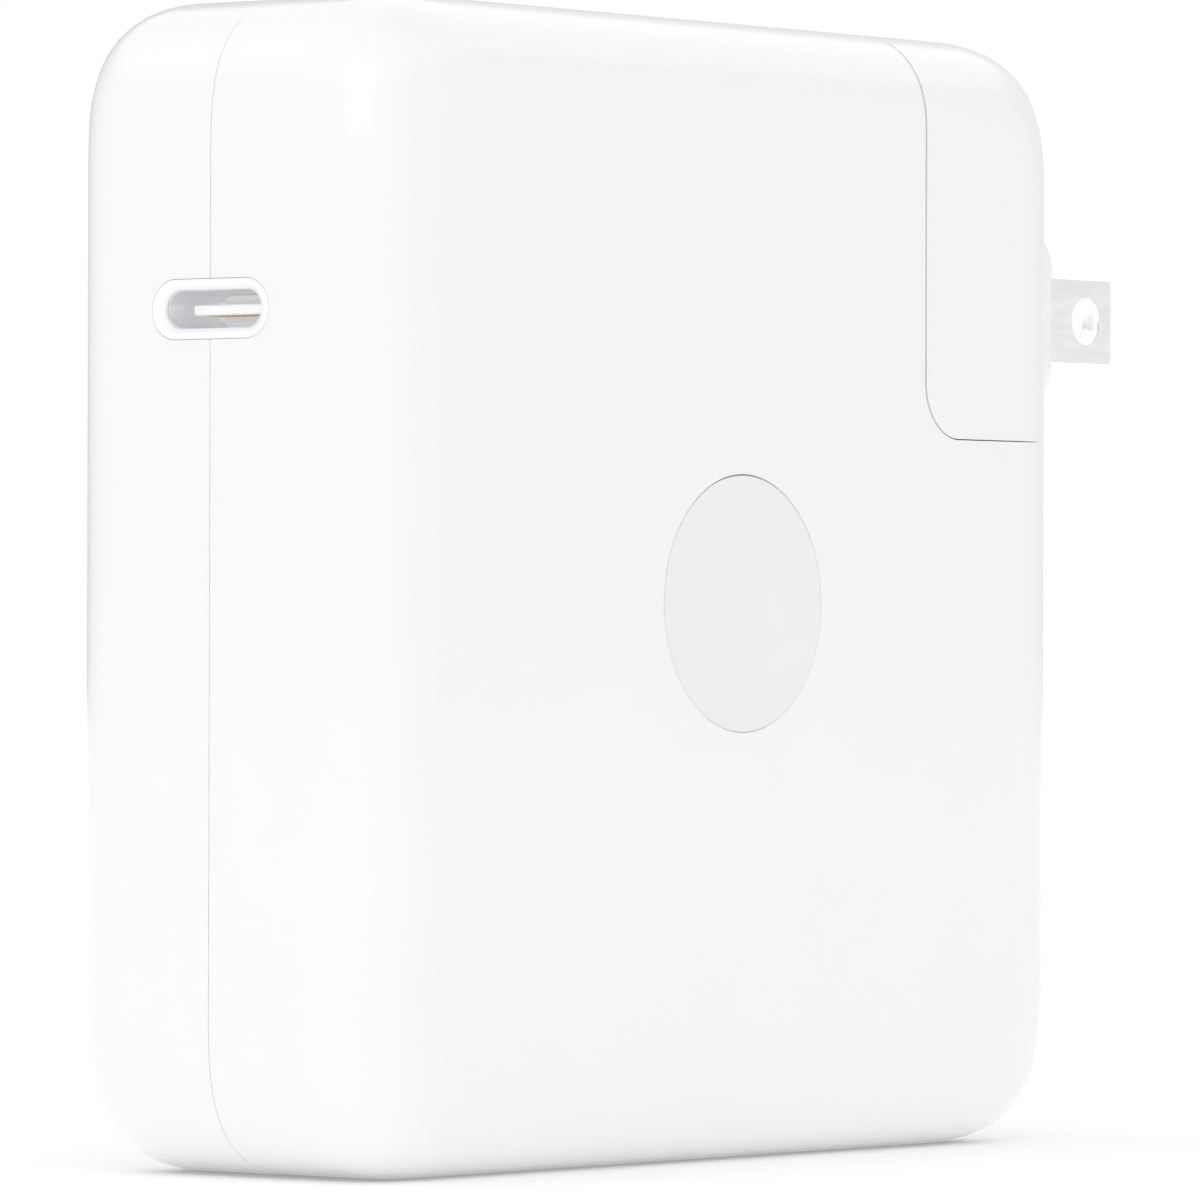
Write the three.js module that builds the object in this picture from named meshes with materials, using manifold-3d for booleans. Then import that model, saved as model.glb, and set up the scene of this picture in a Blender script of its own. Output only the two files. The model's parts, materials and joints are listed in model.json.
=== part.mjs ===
// Laptop power adapter: a square white block with a USB-C port on its narrow left face and a
// corner plug unit that slides off upwards. Its two mains blades fold up into the plug unit.
// Millimetres. +X points along the wide face to the blades, +Y to the rear face, +Z up.
// The origin is the middle of the face that the adapter stands on.

import * as THREE from 'three';
import { mergeVertices } from 'three/addons/utils/BufferGeometryUtils.js';
import Module from 'manifold-3d';

const wasm = await Module();
wasm.setup();

// ---------------------------------------------------------------- driving dimensions

const BODY_WIDTH = 80;
const BODY_HEIGHT = 80;
const BODY_THICKNESS = 29;
const CORNER_REACH = 11.5; // how far a corner's curve runs along each side
const CORNER_POWER = 3; // 2 would be a circular arc, more is squarer
const EDGE_REACH = 6.9; // the rounding between a wide face and the narrow sides
const EDGE_POWER = 2.2;
const WALL = 2.2;
const GAP = 0.3; // clearance between two pieces that face each other
const SEAM_GAP = 0.1; // between the front and rear shells
const MARK_RADIUS = 9; // plain round recess in the front face
const MARK_DEPTH = 0.25;
const MARK_Z = 39;

const SPLIT_X = 21.3; // upright wall of the corner bay
const SPLIT_Z = 50.9; // floor of the corner bay
const SPLIT_RADIUS = 4;

const PORT_Z = 58.6;
const PORT_RING_WIDTH = 10.4;
const PORT_RING_HEIGHT = 4.1;
const PORT_RING_PROUD = 0.05;
const PORT_RING_DEPTH = 1.65;
const PORT_MOUTH_WIDTH = 8.5;
const PORT_MOUTH_HEIGHT = 2.7;
const USB_WIDTH = 8.34; // inside of the steel sleeve
const USB_HEIGHT = 2.56;
const USB_WALL = 0.25;
const USB_DEPTH = 6.8;
const USB_INSULATOR = 2.9;
const TONGUE_WIDTH = 6.69;
const TONGUE_THICKNESS = 0.7;
const TONGUE_RECESS = 1.95; // from the body's left face to the front of the tongue
const PORT_BOARD = { right: -20, front: -9, back: 6, thickness: 1 };

const PIN_PITCH = 8.6; // figure-eight inlet
const PIN_RADIUS = 1.15;
const PIN_TAIL = 1.3; // below the housing
const PIN_TIP_DROP = 1.3; // below the floor of the bay
const INLET_X = 30.6;
const LOBE_RADIUS = 3.7; // figure-eight nose of the plug unit
const NOSE_DEPTH = 8;
const INLET_DEPTH = 9.3;
const INLET_COLLAR = 0.9;
const INLET_BLOCK = { left: 24.6, right: 36.8, front: -10.5, floor: 1.8 };

const STUD_Z = 64;
const STUD_NECK = 2.4;
const STUD_NECK_LENGTH = 2.25;
const STUD_HEAD = 4.8;
const STUD_TAIL = 1.6;
const STUD_TAIL_LENGTH = 3.4; // beyond the inner side of the bay's wall
const STUD_HEAD_THICKNESS = 1.5;
const STUD_CHAMFER = 0.4;
const NUT_RADIUS = 4;
const NUT_SET_BACK = 0.6;
const STRAP = { thickness: 0.5, halfWidth: 2.5, above: 3, below: 4, footX: 1.6, footDrop: 6.5 };

const BLADE_PITCH = 12.7;
const BLADE_WIDTH = 6.35;
const BLADE_THICKNESS = 1.5;
const BLADE_Z = 60.25;
const BLADE_TIP_X = 54.7;
const BLADE_TIP_ROUND = 0.5;
const BLADE_TIP_TAPER = 1;
const BLADE_HOLE_FROM_TIP = 3.4;
const BLADE_HOLE_RADIUS = 1.6;
const BLADE_TAIL = 3.2; // behind the pivot
const TANG_TOP = 1.4; // above the pivot
const PIVOT_X = 37;
const PIVOT_Z = 58.6;
const ROTOR_RADIUS = 2.9;
const ROTOR_HALF_LENGTH = 10.4;
const ROTOR_POCKET_GAP = 0.15;
const SLOT_CLEARANCE = 0.3;
const SLOT_BEHIND = 1.6; // room behind the folded blade
const TAIL_ROOM = 4.1; // reach of the blade's tail round the pivot

const PAD_WIDTH = 23.4;
const PAD_HEIGHT = 13.2;
const PAD_Z = 60.2;
const PAD_PROUD = 1;
const PAD_CORNER = 3;
const PAD_BEVEL = 0.3;
const PAD_ROOT = 3; // how deep the pad's solid starts inside the housing
const SCOOP = { radius: 6.5, halfLength: 4.4, x: 43.6, z: 73 }; // finger hollow between the folded tips
const PLATE = { width: 23, height: 20.6, thickness: 1.5, z: 65.7, corner: 1 };
const PLATE_ROOM = 1.95; // depth of the plate's pocket in the housing
const HEAD_ROOM = 2.2; // depth of the stud head's pocket behind the plate
const CONTACT_ROOM = { halfWidth: 9, top: 64, wall: 1 };
const SOCKET_WALL = 0.5;
const SOCKET_CLEARANCE = 0.25;
const CONTACT_X = 32.7;
const CONTACT_TOP = 61;
const CONTACT_THICKNESS = 0.4;
const CONTACT_EDGES = [3.6, 7.2];
const DETENT = { x: 33.6, lean: 0.4, foot: 1.2, halfWidth: 2.2, thickness: 0.3 };

const BOARD_THICKNESS = 1.4;
const BOARD_FRONT_Y = 7; // the side that carries the components
const PART_BACK_Y = BOARD_FRONT_Y - GAP;
const BOARD_NOTCH = { x: 17, z: 37.5 }; // the boards and sheets leave this corner free

const CORNER_STEPS = 9;
const EDGE_STEPS = 5;
const ROUND_STEPS = 24;
const SMALL_STEPS = 16;
const FAR = 100; // beyond every surface of the object

const HALF_WIDTH = BODY_WIDTH / 2;
const HALF_THICKNESS = BODY_THICKNESS / 2;
const MIDDLE_Z = BODY_HEIGHT / 2;
const FACE_RIGHT = HALF_WIDTH;
const FACE_LEFT = -HALF_WIDTH;
const BAY_WALL_X = SPLIT_X - GAP / 2;
const BAY_FLOOR_Z = SPLIT_Z - GAP / 2;
const HALF_PITCH = PIN_PITCH / 2;

// ---------------------------------------------------------------- colours

const FINISH = {
  whiteShell: { color: 0xf4f5f6, roughness: 0.16, metalness: 0 },
  portRing: { color: 0xf7f7f8, roughness: 0.22, metalness: 0 },
  steel: { color: 0xc4c6c9, roughness: 0.28, metalness: 1 },
  blade: { color: 0xdcdcda, roughness: 0.24, metalness: 1 },
  contact: { color: 0xb98f4a, roughness: 0.35, metalness: 1 },
  tongue: { color: 0xf2f3f4, roughness: 0.35, metalness: 0 },
  innerPlastic: { color: 0xdfe1e3, roughness: 0.5, metalness: 0 },
  rotor: { color: 0xe9eaeb, roughness: 0.45, metalness: 0 },
  board: { color: 0x1f5a3c, roughness: 0.55, metalness: 0 },
  ferrite: { color: 0x3a3b3e, roughness: 0.7, metalness: 0 },
  tape: { color: 0xe3b73a, roughness: 0.5, metalness: 0 },
  copper: { color: 0xb8693a, roughness: 0.35, metalness: 1 },
  capacitorCan: { color: 0x23262b, roughness: 0.4, metalness: 0 },
  filmBox: { color: 0xd9c23c, roughness: 0.5, metalness: 0 },
  disc: { color: 0x2d6fb0, roughness: 0.5, metalness: 0 },
  chip: { color: 0x1c1d1f, roughness: 0.6, metalness: 0 },
  aluminium: { color: 0xb9bcc0, roughness: 0.4, metalness: 1 },
  film: { color: 0xd8d2b0, roughness: 0.4, metalness: 0 },
  pad: { color: 0x8e9aa6, roughness: 0.8, metalness: 0 },
  wire: { color: 0x303236, roughness: 0.5, metalness: 0 },
};

// ---------------------------------------------------------------- solids and cuts

function solid(geometry) {
  const bare = geometry.clone();
  bare.deleteAttribute('normal');
  bare.deleteAttribute('uv');
  const merged = mergeVertices(bare, 1e-5);
  const mesh = new wasm.Mesh({
    numProp: 3,
    vertProperties: new Float32Array(merged.attributes.position.array),
    triVerts: new Uint32Array(merged.index.array),
  });
  return new wasm.Manifold(mesh);
}

function geometryOf(body) {
  const mesh = body.getMesh();
  const geometry = new THREE.BufferGeometry();
  geometry.setAttribute('position', new THREE.BufferAttribute(new Float32Array(mesh.vertProperties), 3));
  geometry.setIndex(new THREE.BufferAttribute(new Uint32Array(mesh.triVerts), 1));
  geometry.computeVertexNormals();
  return geometry;
}

// A block between two corners, given as [x, y, z].
function block(low, high) {
  const size = high.map((value, axis) => value - low[axis]);
  const middle = high.map((value, axis) => (value + low[axis]) / 2);
  return new THREE.BoxGeometry(...size).translate(...middle);
}

// A shape drawn in X and Z, extruded along Y.
function extrudeAlongY(shape, fromY, toY, curveSegments = 8) {
  const settings = { depth: toY - fromY, bevelEnabled: false, curveSegments };
  const geometry = new THREE.ExtrudeGeometry(shape, settings);
  return geometry.rotateX(Math.PI / 2).translate(0, toY, 0);
}

// A shape drawn in Y and Z, extruded along X.
function extrudeAlongX(shape, fromX, toX, options = {}) {
  const settings = { depth: toX - fromX, bevelEnabled: false, curveSegments: 8, ...options };
  const geometry = new THREE.ExtrudeGeometry(shape, settings);
  const turn = new THREE.Matrix4().makeBasis(
    new THREE.Vector3(0, 1, 0),
    new THREE.Vector3(0, 0, 1),
    new THREE.Vector3(1, 0, 0),
  );
  return geometry.applyMatrix4(turn).translate(fromX, 0, 0);
}

// A shape drawn in X and Y, extruded along Z.
function extrudeAlongZ(shape, fromZ, toZ, curveSegments = 8) {
  const settings = { depth: toZ - fromZ, bevelEnabled: false, curveSegments };
  const geometry = new THREE.ExtrudeGeometry(shape, settings);
  return geometry.translate(0, 0, fromZ);
}

// A turned profile of [radius, distance along the axis]; the axis is 'x', 'y' or 'z'.
function turned(profile, axis, steps = ROUND_STEPS) {
  const points = profile.map(([radius, along]) => new THREE.Vector2(radius, along));
  const geometry = new THREE.LatheGeometry(points, steps);
  if (axis === 'x') geometry.rotateZ(-Math.PI / 2);
  if (axis === 'z') geometry.rotateX(Math.PI / 2);
  return geometry;
}

function rod(radius, from, to, axis, steps = ROUND_STEPS) {
  return turned([[0, from], [radius, from], [radius, to], [0, to]], axis, steps);
}

function tube(inner, outer, from, to, axis, steps = ROUND_STEPS) {
  const profile = [[inner, from], [outer, from], [outer, to], [inner, to], [inner, from]];
  return turned(profile, axis, steps);
}

function roundedRectangle(width, height, radius, centreX = 0, centreY = 0) {
  const shape = new THREE.Shape();
  const left = centreX - width / 2;
  const right = centreX + width / 2;
  const bottom = centreY - height / 2;
  const top = centreY + height / 2;
  shape.moveTo(left + radius, bottom);
  shape.lineTo(right - radius, bottom);
  shape.absarc(right - radius, bottom + radius, radius, -Math.PI / 2, 0, false);
  shape.lineTo(right, top - radius);
  shape.absarc(right - radius, top - radius, radius, 0, Math.PI / 2, false);
  shape.lineTo(left + radius, top);
  shape.absarc(left + radius, top - radius, radius, Math.PI / 2, Math.PI, false);
  shape.lineTo(left, bottom + radius);
  shape.absarc(left + radius, bottom + radius, radius, Math.PI, Math.PI * 1.5, false);
  return shape;
}

function stadium(width, height, centreX = 0, centreY = 0) {
  return roundedRectangle(width, height, height / 2 - 0.001, centreX, centreY);
}

// A strip of even thickness along a list of [a, b] points.
function stripShape(points, thickness) {
  const path = points.map(([a, b]) => new THREE.Vector2(a, b));
  const sides = path.map((point, index) => {
    const before = path[Math.max(index - 1, 0)];
    const after = path[Math.min(index + 1, path.length - 1)];
    const along = after.clone().sub(before).normalize();
    return new THREE.Vector2(-along.y, along.x).multiplyScalar(thickness / 2);
  });
  const left = path.map((point, index) => point.clone().add(sides[index]));
  const right = path.map((point, index) => point.clone().sub(sides[index]));
  return new THREE.Shape([...left, ...right.reverse()]);
}

// ---------------------------------------------------------------- outer form

function superellipse(angle, power) {
  const across = Math.max(Math.cos(angle), 0);
  const upward = Math.max(Math.sin(angle), 0);
  const radius = (across ** power + upward ** power) ** (-1 / power);
  return [across * radius, upward * radius];
}

// The outline seen from the front, drawn in by an inset, as [x, z] points.
function outline(inset) {
  const reach = CORNER_REACH - inset;
  const cornerX = HALF_WIDTH - inset - reach;
  const cornerZ = MIDDLE_Z - inset - reach;
  const points = [];
  for (let quarter = 0; quarter < 4; quarter += 1) {
    for (let step = 0; step <= CORNER_STEPS; step += 1) {
      const [across, upward] = superellipse((step / CORNER_STEPS) * Math.PI / 2, CORNER_POWER);
      const a = cornerX + reach * across;
      const b = cornerZ + reach * upward;
      const turns = [[a, b], [-b, a], [-a, -b], [b, -a]];
      points.push([turns[quarter][0], MIDDLE_Z + turns[quarter][1]]);
    }
  }
  return points;
}

// A closed body through rings of equal length, capped by a fan at each end.
function loft(rings) {
  const count = rings[0].length;
  const positions = rings.flat(2);
  const index = [];
  for (let ring = 0; ring + 1 < rings.length; ring += 1) {
    for (let point = 0; point < count; point += 1) {
      const next = (point + 1) % count;
      const a = ring * count + point;
      const b = ring * count + next;
      index.push(a, b, b + count, a, b + count, a + count);
    }
  }
  const caps = [[0, false], [rings.length - 1, true]];
  caps.forEach(([ring, forward]) => {
    const centre = positions.length / 3;
    positions.push(0, rings[ring][0][1], MIDDLE_Z);
    for (let point = 0; point < count; point += 1) {
      const a = ring * count + point;
      const b = ring * count + ((point + 1) % count);
      index.push(...(forward ? [centre, a, b] : [centre, b, a]));
    }
  });
  const geometry = new THREE.BufferGeometry();
  geometry.setAttribute('position', new THREE.Float32BufferAttribute(positions, 3));
  geometry.setIndex(index);
  return geometry;
}

// The whole adapter's rounded form, drawn in on every side by an inset.
function roundedForm(inset) {
  const reach = EDGE_REACH - inset;
  const face = HALF_THICKNESS - inset;
  const half = [];
  for (let step = 0; step <= EDGE_STEPS; step += 1) {
    const [across, outward] = superellipse((step / EDGE_STEPS) * Math.PI / 2, EDGE_POWER);
    half.push({ y: face - reach * (1 - outward), inset: inset + reach * (1 - across) });
  }
  const front = half.map((ring) => ({ y: -ring.y, inset: ring.inset })).reverse();
  const rings = [...front, ...half].map((ring) => outline(ring.inset).map(([x, z]) => [x, ring.y, z]));
  return solid(loft(rings.reverse()));
}

// The corner bay's region, grown on its two inner sides.
function bayRegion(grow) {
  const left = SPLIT_X - grow;
  const bottom = SPLIT_Z - grow;
  const radius = SPLIT_RADIUS + grow;
  const shape = new THREE.Shape();
  shape.moveTo(left, FAR);
  shape.lineTo(left, bottom + radius);
  shape.absarc(left + radius, bottom + radius, radius, Math.PI, Math.PI * 1.5, false);
  shape.lineTo(FAR, bottom);
  shape.lineTo(FAR, FAR);
  return solid(extrudeAlongY(shape, -FAR, FAR));
}

// Two round lobes side by side along Y with a straight web, as the figure-eight plug has.
function figureEight(lobe, fromZ, toZ) {
  const web = lobe * 0.8;
  const round = (y) => solid(rod(lobe, fromZ, toZ, 'z').translate(INLET_X, y, 0));
  const middle = solid(block([INLET_X - web, -HALF_PITCH, fromZ], [INLET_X + web, HALF_PITCH, toZ]));
  return round(-HALF_PITCH).add(round(HALF_PITCH)).add(middle);
}

// The two upright bores for the inlet's pins.
function pinBores(radius, fromZ, toZ) {
  const bore = (y) => solid(rod(radius, fromZ, toZ, 'z', SMALL_STEPS).translate(INLET_X, y, 0));
  return bore(-HALF_PITCH).add(bore(HALF_PITCH));
}

// ---------------------------------------------------------------- the two casing shells

function casing() {
  const cavity = roundedForm(WALL).subtract(bayRegion(GAP / 2 + WALL));
  const portHole = stadium(PORT_RING_WIDTH + GAP, PORT_RING_HEIGHT + GAP, 0, PORT_Z);
  const collar = LOBE_RADIUS + GAP + INLET_COLLAR + GAP;
  const inletHole = figureEight(collar, BAY_FLOOR_Z - WALL - 1, BAY_FLOOR_Z + 1);
  const studHole = rod(STUD_TAIL + GAP, BAY_WALL_X - WALL - 1, BAY_WALL_X + 1, 'x').translate(0, 0, STUD_Z);
  const mark = rod(MARK_RADIUS, -HALF_THICKNESS - 1, -HALF_THICKNESS + MARK_DEPTH, 'y', 48);
  return roundedForm(0)
    .subtract(bayRegion(GAP / 2))
    .subtract(cavity)
    .subtract(solid(extrudeAlongX(portHole, FACE_LEFT - 1, FACE_LEFT + WALL + 1)))
    .subtract(inletHole)
    .subtract(solid(studHole))
    .subtract(solid(mark.translate(0, 0, MARK_Z)));
}

function shells() {
  const whole = casing();
  const frontSide = solid(block([-FAR, -FAR, -FAR], [FAR, -SEAM_GAP / 2, FAR]));
  const rearSide = solid(block([-FAR, SEAM_GAP / 2, -FAR], [FAR, FAR, FAR]));
  return {
    front_shell: [geometryOf(whole.intersect(frontSide)), FINISH.whiteShell],
    rear_shell: [geometryOf(whole.intersect(rearSide)), FINISH.whiteShell],
  };
}

// ---------------------------------------------------------------- USB-C port

function usbPort() {
  const ring = stadium(PORT_RING_WIDTH, PORT_RING_HEIGHT, 0, PORT_Z);
  ring.holes.push(stadium(PORT_MOUTH_WIDTH, PORT_MOUTH_HEIGHT, 0, PORT_Z));
  const sleeve = stadium(USB_WIDTH + 2 * USB_WALL, USB_HEIGHT + 2 * USB_WALL, 0, PORT_Z);
  sleeve.holes.push(stadium(USB_WIDTH, USB_HEIGHT, 0, PORT_Z));
  const plug = stadium(USB_WIDTH - GAP, USB_HEIGHT - GAP, 0, PORT_Z);
  const ringFront = FACE_LEFT - PORT_RING_PROUD;
  const ringBack = ringFront + PORT_RING_DEPTH;
  const sleeveFront = ringBack + GAP;
  const sleeveBack = sleeveFront + USB_DEPTH;
  const plugFront = sleeveBack - USB_INSULATOR;
  const tongueLow = [FACE_LEFT + TONGUE_RECESS, -TONGUE_WIDTH / 2, PORT_Z - TONGUE_THICKNESS / 2];
  const tongueHigh = [plugFront - GAP, TONGUE_WIDTH / 2, PORT_Z + TONGUE_THICKNESS / 2];
  const boardTop = PORT_Z - USB_HEIGHT / 2 - USB_WALL - GAP;
  const board = block(
    [FACE_LEFT + WALL + GAP, PORT_BOARD.front, boardTop - PORT_BOARD.thickness],
    [PORT_BOARD.right, PORT_BOARD.back, boardTop],
  );
  return {
    port_bezel: [extrudeAlongX(ring, ringFront, ringBack), FINISH.portRing],
    usb_sleeve: [extrudeAlongX(sleeve, sleeveFront, sleeveBack), FINISH.steel],
    usb_insulator: [extrudeAlongX(plug, plugFront, sleeveBack), FINISH.tongue],
    usb_tongue: [block(tongueLow, tongueHigh), FINISH.tongue],
    port_board: [board, FINISH.board],
  };
}

// ---------------------------------------------------------------- mains inlet and stud

function inletPin(y, bottom) {
  const tip = BAY_FLOOR_Z - PIN_TIP_DROP;
  const profile = [
    [0, bottom],
    [PIN_RADIUS, bottom],
    [PIN_RADIUS, tip - PIN_RADIUS * 0.6],
    [PIN_RADIUS * 0.6, tip],
    [0, tip],
  ];
  return turned(profile, 'z', SMALL_STEPS).translate(INLET_X, y, 0);
}

function mainsInlet() {
  const top = BAY_FLOOR_Z - WALL - GAP;
  const recessFloor = BAY_FLOOR_Z - INLET_DEPTH;
  const bottom = recessFloor - INLET_BLOCK.floor;
  const back = PART_BACK_Y - GAP;
  const body = solid(block([INLET_BLOCK.left, INLET_BLOCK.front, bottom], [INLET_BLOCK.right, back, top]))
    .add(figureEight(LOBE_RADIUS + GAP + INLET_COLLAR, top - 1, BAY_FLOOR_Z))
    .subtract(figureEight(LOBE_RADIUS + GAP, recessFloor, BAY_FLOOR_Z + 1))
    .subtract(pinBores(PIN_RADIUS + GAP, bottom - 1, recessFloor + 1));
  return {
    inlet_housing: [geometryOf(body), FINISH.innerPlastic],
    inlet_pin_line: [inletPin(-HALF_PITCH, bottom - PIN_TAIL), FINISH.steel],
    inlet_pin_neutral: [inletPin(HALF_PITCH, bottom - PIN_TAIL), FINISH.steel],
  };
}

function studParts() {
  const neckFrom = BAY_WALL_X + GAP;
  const headFrom = neckFrom + STUD_NECK_LENGTH;
  const headTo = headFrom + STUD_HEAD_THICKNESS;
  const innerWall = BAY_WALL_X - WALL;
  const tailFrom = innerWall - STUD_TAIL_LENGTH;
  const stud = turned([
    [0, tailFrom],
    [STUD_TAIL, tailFrom],
    [STUD_TAIL, neckFrom],
    [STUD_NECK, neckFrom],
    [STUD_NECK, headFrom],
    [STUD_HEAD, headFrom],
    [STUD_HEAD, headTo - STUD_CHAMFER],
    [STUD_HEAD - STUD_CHAMFER, headTo],
    [0, headTo],
  ], 'x');
  const nut = tube(STUD_TAIL + GAP, NUT_RADIUS, tailFrom + NUT_SET_BACK, innerWall - GAP, 'x', 6);
  const strapX = tailFrom - GAP - STRAP.thickness / 2;
  const strapPath = [
    [strapX, STUD_Z + STRAP.above],
    [strapX, STUD_Z - STRAP.below],
    [strapX + STRAP.footX, STUD_Z - STRAP.footDrop],
  ];
  const strap = extrudeAlongY(stripShape(strapPath, STRAP.thickness), -STRAP.halfWidth, STRAP.halfWidth);
  return {
    mounting_stud: [stud.translate(0, 0, STUD_Z), FINISH.steel],
    stud_nut: [nut.translate(0, 0, STUD_Z), FINISH.steel],
    ground_strap: [strap, FINISH.copper],
  };
}

// ---------------------------------------------------------------- sheets inside the casing

// A flat sheet that follows the casing's outline and leaves the corner bay free.
function innerSheet(inset, fromY, toY) {
  const shape = new THREE.Shape(outline(inset).map(([x, z]) => new THREE.Vector2(x, z)));
  const bay = solid(block([BOARD_NOTCH.x, -FAR, BOARD_NOTCH.z], [FAR, FAR, FAR]));
  return geometryOf(solid(extrudeAlongY(shape, fromY, toY)).subtract(bay));
}

function boardsAndSheets() {
  const boardBack = BOARD_FRONT_Y + BOARD_THICKNESS;
  const rearFilm = boardBack + 0.9;
  const rearSheet = boardBack + 2.4;
  const frontFilm = -10.6;
  const frontSheet = -11.8;
  const filmThickness = 0.3;
  const sheetThickness = 0.6;
  return {
    main_board: [innerSheet(4, BOARD_FRONT_Y, boardBack), FINISH.board],
    rear_insulation: [innerSheet(5, rearFilm, rearFilm + filmThickness), FINISH.film],
    rear_heat_spreader: [innerSheet(6.2, rearSheet, rearSheet + sheetThickness), FINISH.aluminium],
    front_insulation: [innerSheet(6, frontFilm, frontFilm + filmThickness), FINISH.film],
    front_heat_spreader: [innerSheet(6.6, frontSheet, frontSheet + sheetThickness), FINISH.aluminium],
    thermal_pad: [block([-14, frontFilm + 0.7, 22], [2, frontFilm + 1.7, 38]), FINISH.pad],
  };
}

// ---------------------------------------------------------------- components on the board

// A wound core whose middle leg runs along Z: size is [x, y, z] of the ferrite.
function woundCore(name, centre, size, bulge) {
  const [x, y, z] = centre;
  const [width, depth, height] = size;
  const leg = width * 0.28;
  const side = width * 0.14;
  const yoke = height * 0.18;
  const windowWidth = (width - leg) / 2 - side;
  const core = roundedRectangle(width, height, 0.8, x, z);
  [-1, 1].forEach((hand) => {
    const windowX = x + hand * (leg + windowWidth) / 2;
    core.holes.push(roundedRectangle(windowWidth, height - 2 * yoke, 0.3, windowX, z));
  });
  const coil = roundedRectangle(leg + 2 * windowWidth - 2 * GAP, depth + 2 * bulge, bulge, x, y);
  coil.holes.push(roundedRectangle(leg + 2 * GAP, depth + 2 * GAP, 0.4, x, y));
  const coilHalf = height / 2 - yoke - GAP;
  return {
    [`${name}_core`]: [extrudeAlongY(core, y - depth / 2, y + depth / 2, 2), FINISH.ferrite],
    [`${name}_winding`]: [extrudeAlongZ(coil, z - coilHalf, z + coilHalf, 4), FINISH.tape],
  };
}

function canCapacitor(radius, length) {
  const crimp = 0.5;
  return turned([
    [0, 0],
    [radius - 0.3, 0],
    [radius, 0.4],
    [radius, length - 2.6],
    [radius - crimp, length - 2.2],
    [radius, length - 1.8],
    [radius, length - crimp],
    [radius - crimp, length],
    [0, length],
  ], 'z', 20);
}

function toroid(x, z) {
  const ringRadius = 5.4;
  const woundRadius = 2.5;
  const ring = new THREE.TorusGeometry(ringRadius, woundRadius, 8, 20);
  return ring.rotateX(Math.PI / 2).translate(x, PART_BACK_Y - woundRadius - GAP, z);
}

function discCapacitor(x, z) {
  const profile = [[0, 3], [3.4, 3.2], [3.8, 4.2], [3.4, 5.6], [0, 5.8]];
  return turned(profile, 'y', SMALL_STEPS).translate(x, 0, z);
}

function fuse(x, z) {
  const profile = [[0, -2], [3, -2], [3.4, -1.4], [3.4, PART_BACK_Y], [0, PART_BACK_Y]];
  return turned(profile, 'y', SMALL_STEPS).translate(x, 0, z);
}

function chipPackage(x, z, width, height, thickness) {
  return block(
    [x - width / 2, PART_BACK_Y - thickness, z - height / 2],
    [x + width / 2, PART_BACK_Y, z + height / 2],
  );
}

function components() {
  const filmBox = extrudeAlongY(roundedRectangle(12, 15, 0.8, -12, 54), -5, PART_BACK_Y, 2);
  const parts = {
    ...woundCore('transformer', [-6, -1.2, 30], [22, 10, 22], 2.4),
    ...woundCore('pfc_inductor', [-27, -0.4, 24], [16, 8, 17], 2.2),
    x_capacitor: [filmBox, FINISH.filmBox],
    fuse: [fuse(20.4, 42.6), FINISH.chip],
    bridge_rectifier: [chipPackage(3, 10.5, 13, 10, 3.4), FINISH.chip],
    primary_switch: [chipPackage(-12, 11, 10, 9, 4.4), FINISH.chip],
    sync_rectifier: [chipPackage(-27, 9.6, 10, 7, 4.4), FINISH.chip],
  };
  [16.8, 29].forEach((x, index) => {
    const can = canCapacitor(5.6, 26).translate(x, 0.4, 6.5);
    parts[`bulk_capacitor_${index + 1}`] = [can, FINISH.capacitorCan];
  });
  [[4, 68], [8, 50.5]].forEach(([x, z], index) => {
    parts[`common_mode_choke_${index + 1}`] = [toroid(x, z), FINISH.copper];
  });
  [[-24, 69], [-13, 69]].forEach(([x, z], index) => {
    parts[`y_capacitor_${index + 1}`] = [discCapacitor(x, z), FINISH.disc];
  });
  [[-32, 38.6], [-22.8, 40.4], [-32, 47.6]].forEach(([x, z], index) => {
    const can = canCapacitor(3.9, 12).rotateX(Math.PI / 2).translate(x, PART_BACK_Y, z);
    parts[`output_capacitor_${index + 1}`] = [can, FINISH.aluminium];
  });
  return parts;
}

// A short insulated wire from an inlet pin to the board.
function wire(points) {
  const radius = 0.8;
  const path = new THREE.CatmullRomCurve3(points.map((point) => new THREE.Vector3(...point)));
  const section = new THREE.Shape();
  section.absarc(0, 0, radius, 0, Math.PI * 2, false);
  return new THREE.ExtrudeGeometry(section, { extrudePath: path, steps: 14, curveSegments: 4 });
}

function wires() {
  const pinEnd = BAY_FLOOR_Z - INLET_DEPTH - INLET_BLOCK.floor - PIN_TAIL - GAP;
  const toLine = [
    [INLET_X, -HALF_PITCH, pinEnd],
    [INLET_X - 0.6, -HALF_PITCH, 36.2],
    [27, -2.6, 35.2],
    [24.6, 2.4, 35.4],
    [24.4, PART_BACK_Y, 35.6],
  ];
  const toNeutral = [
    [INLET_X, HALF_PITCH, pinEnd],
    [INLET_X + 0.2, HALF_PITCH + 0.1, 36.4],
    [INLET_X + 0.6, 5.2, 35.2],
    [INLET_X + 0.8, PART_BACK_Y, 34.6],
  ];
  return {
    line_wire: [wire(toLine), FINISH.wire],
    neutral_wire: [wire(toNeutral), FINISH.wire],
  };
}

// ---------------------------------------------------------------- corner plug unit

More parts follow.
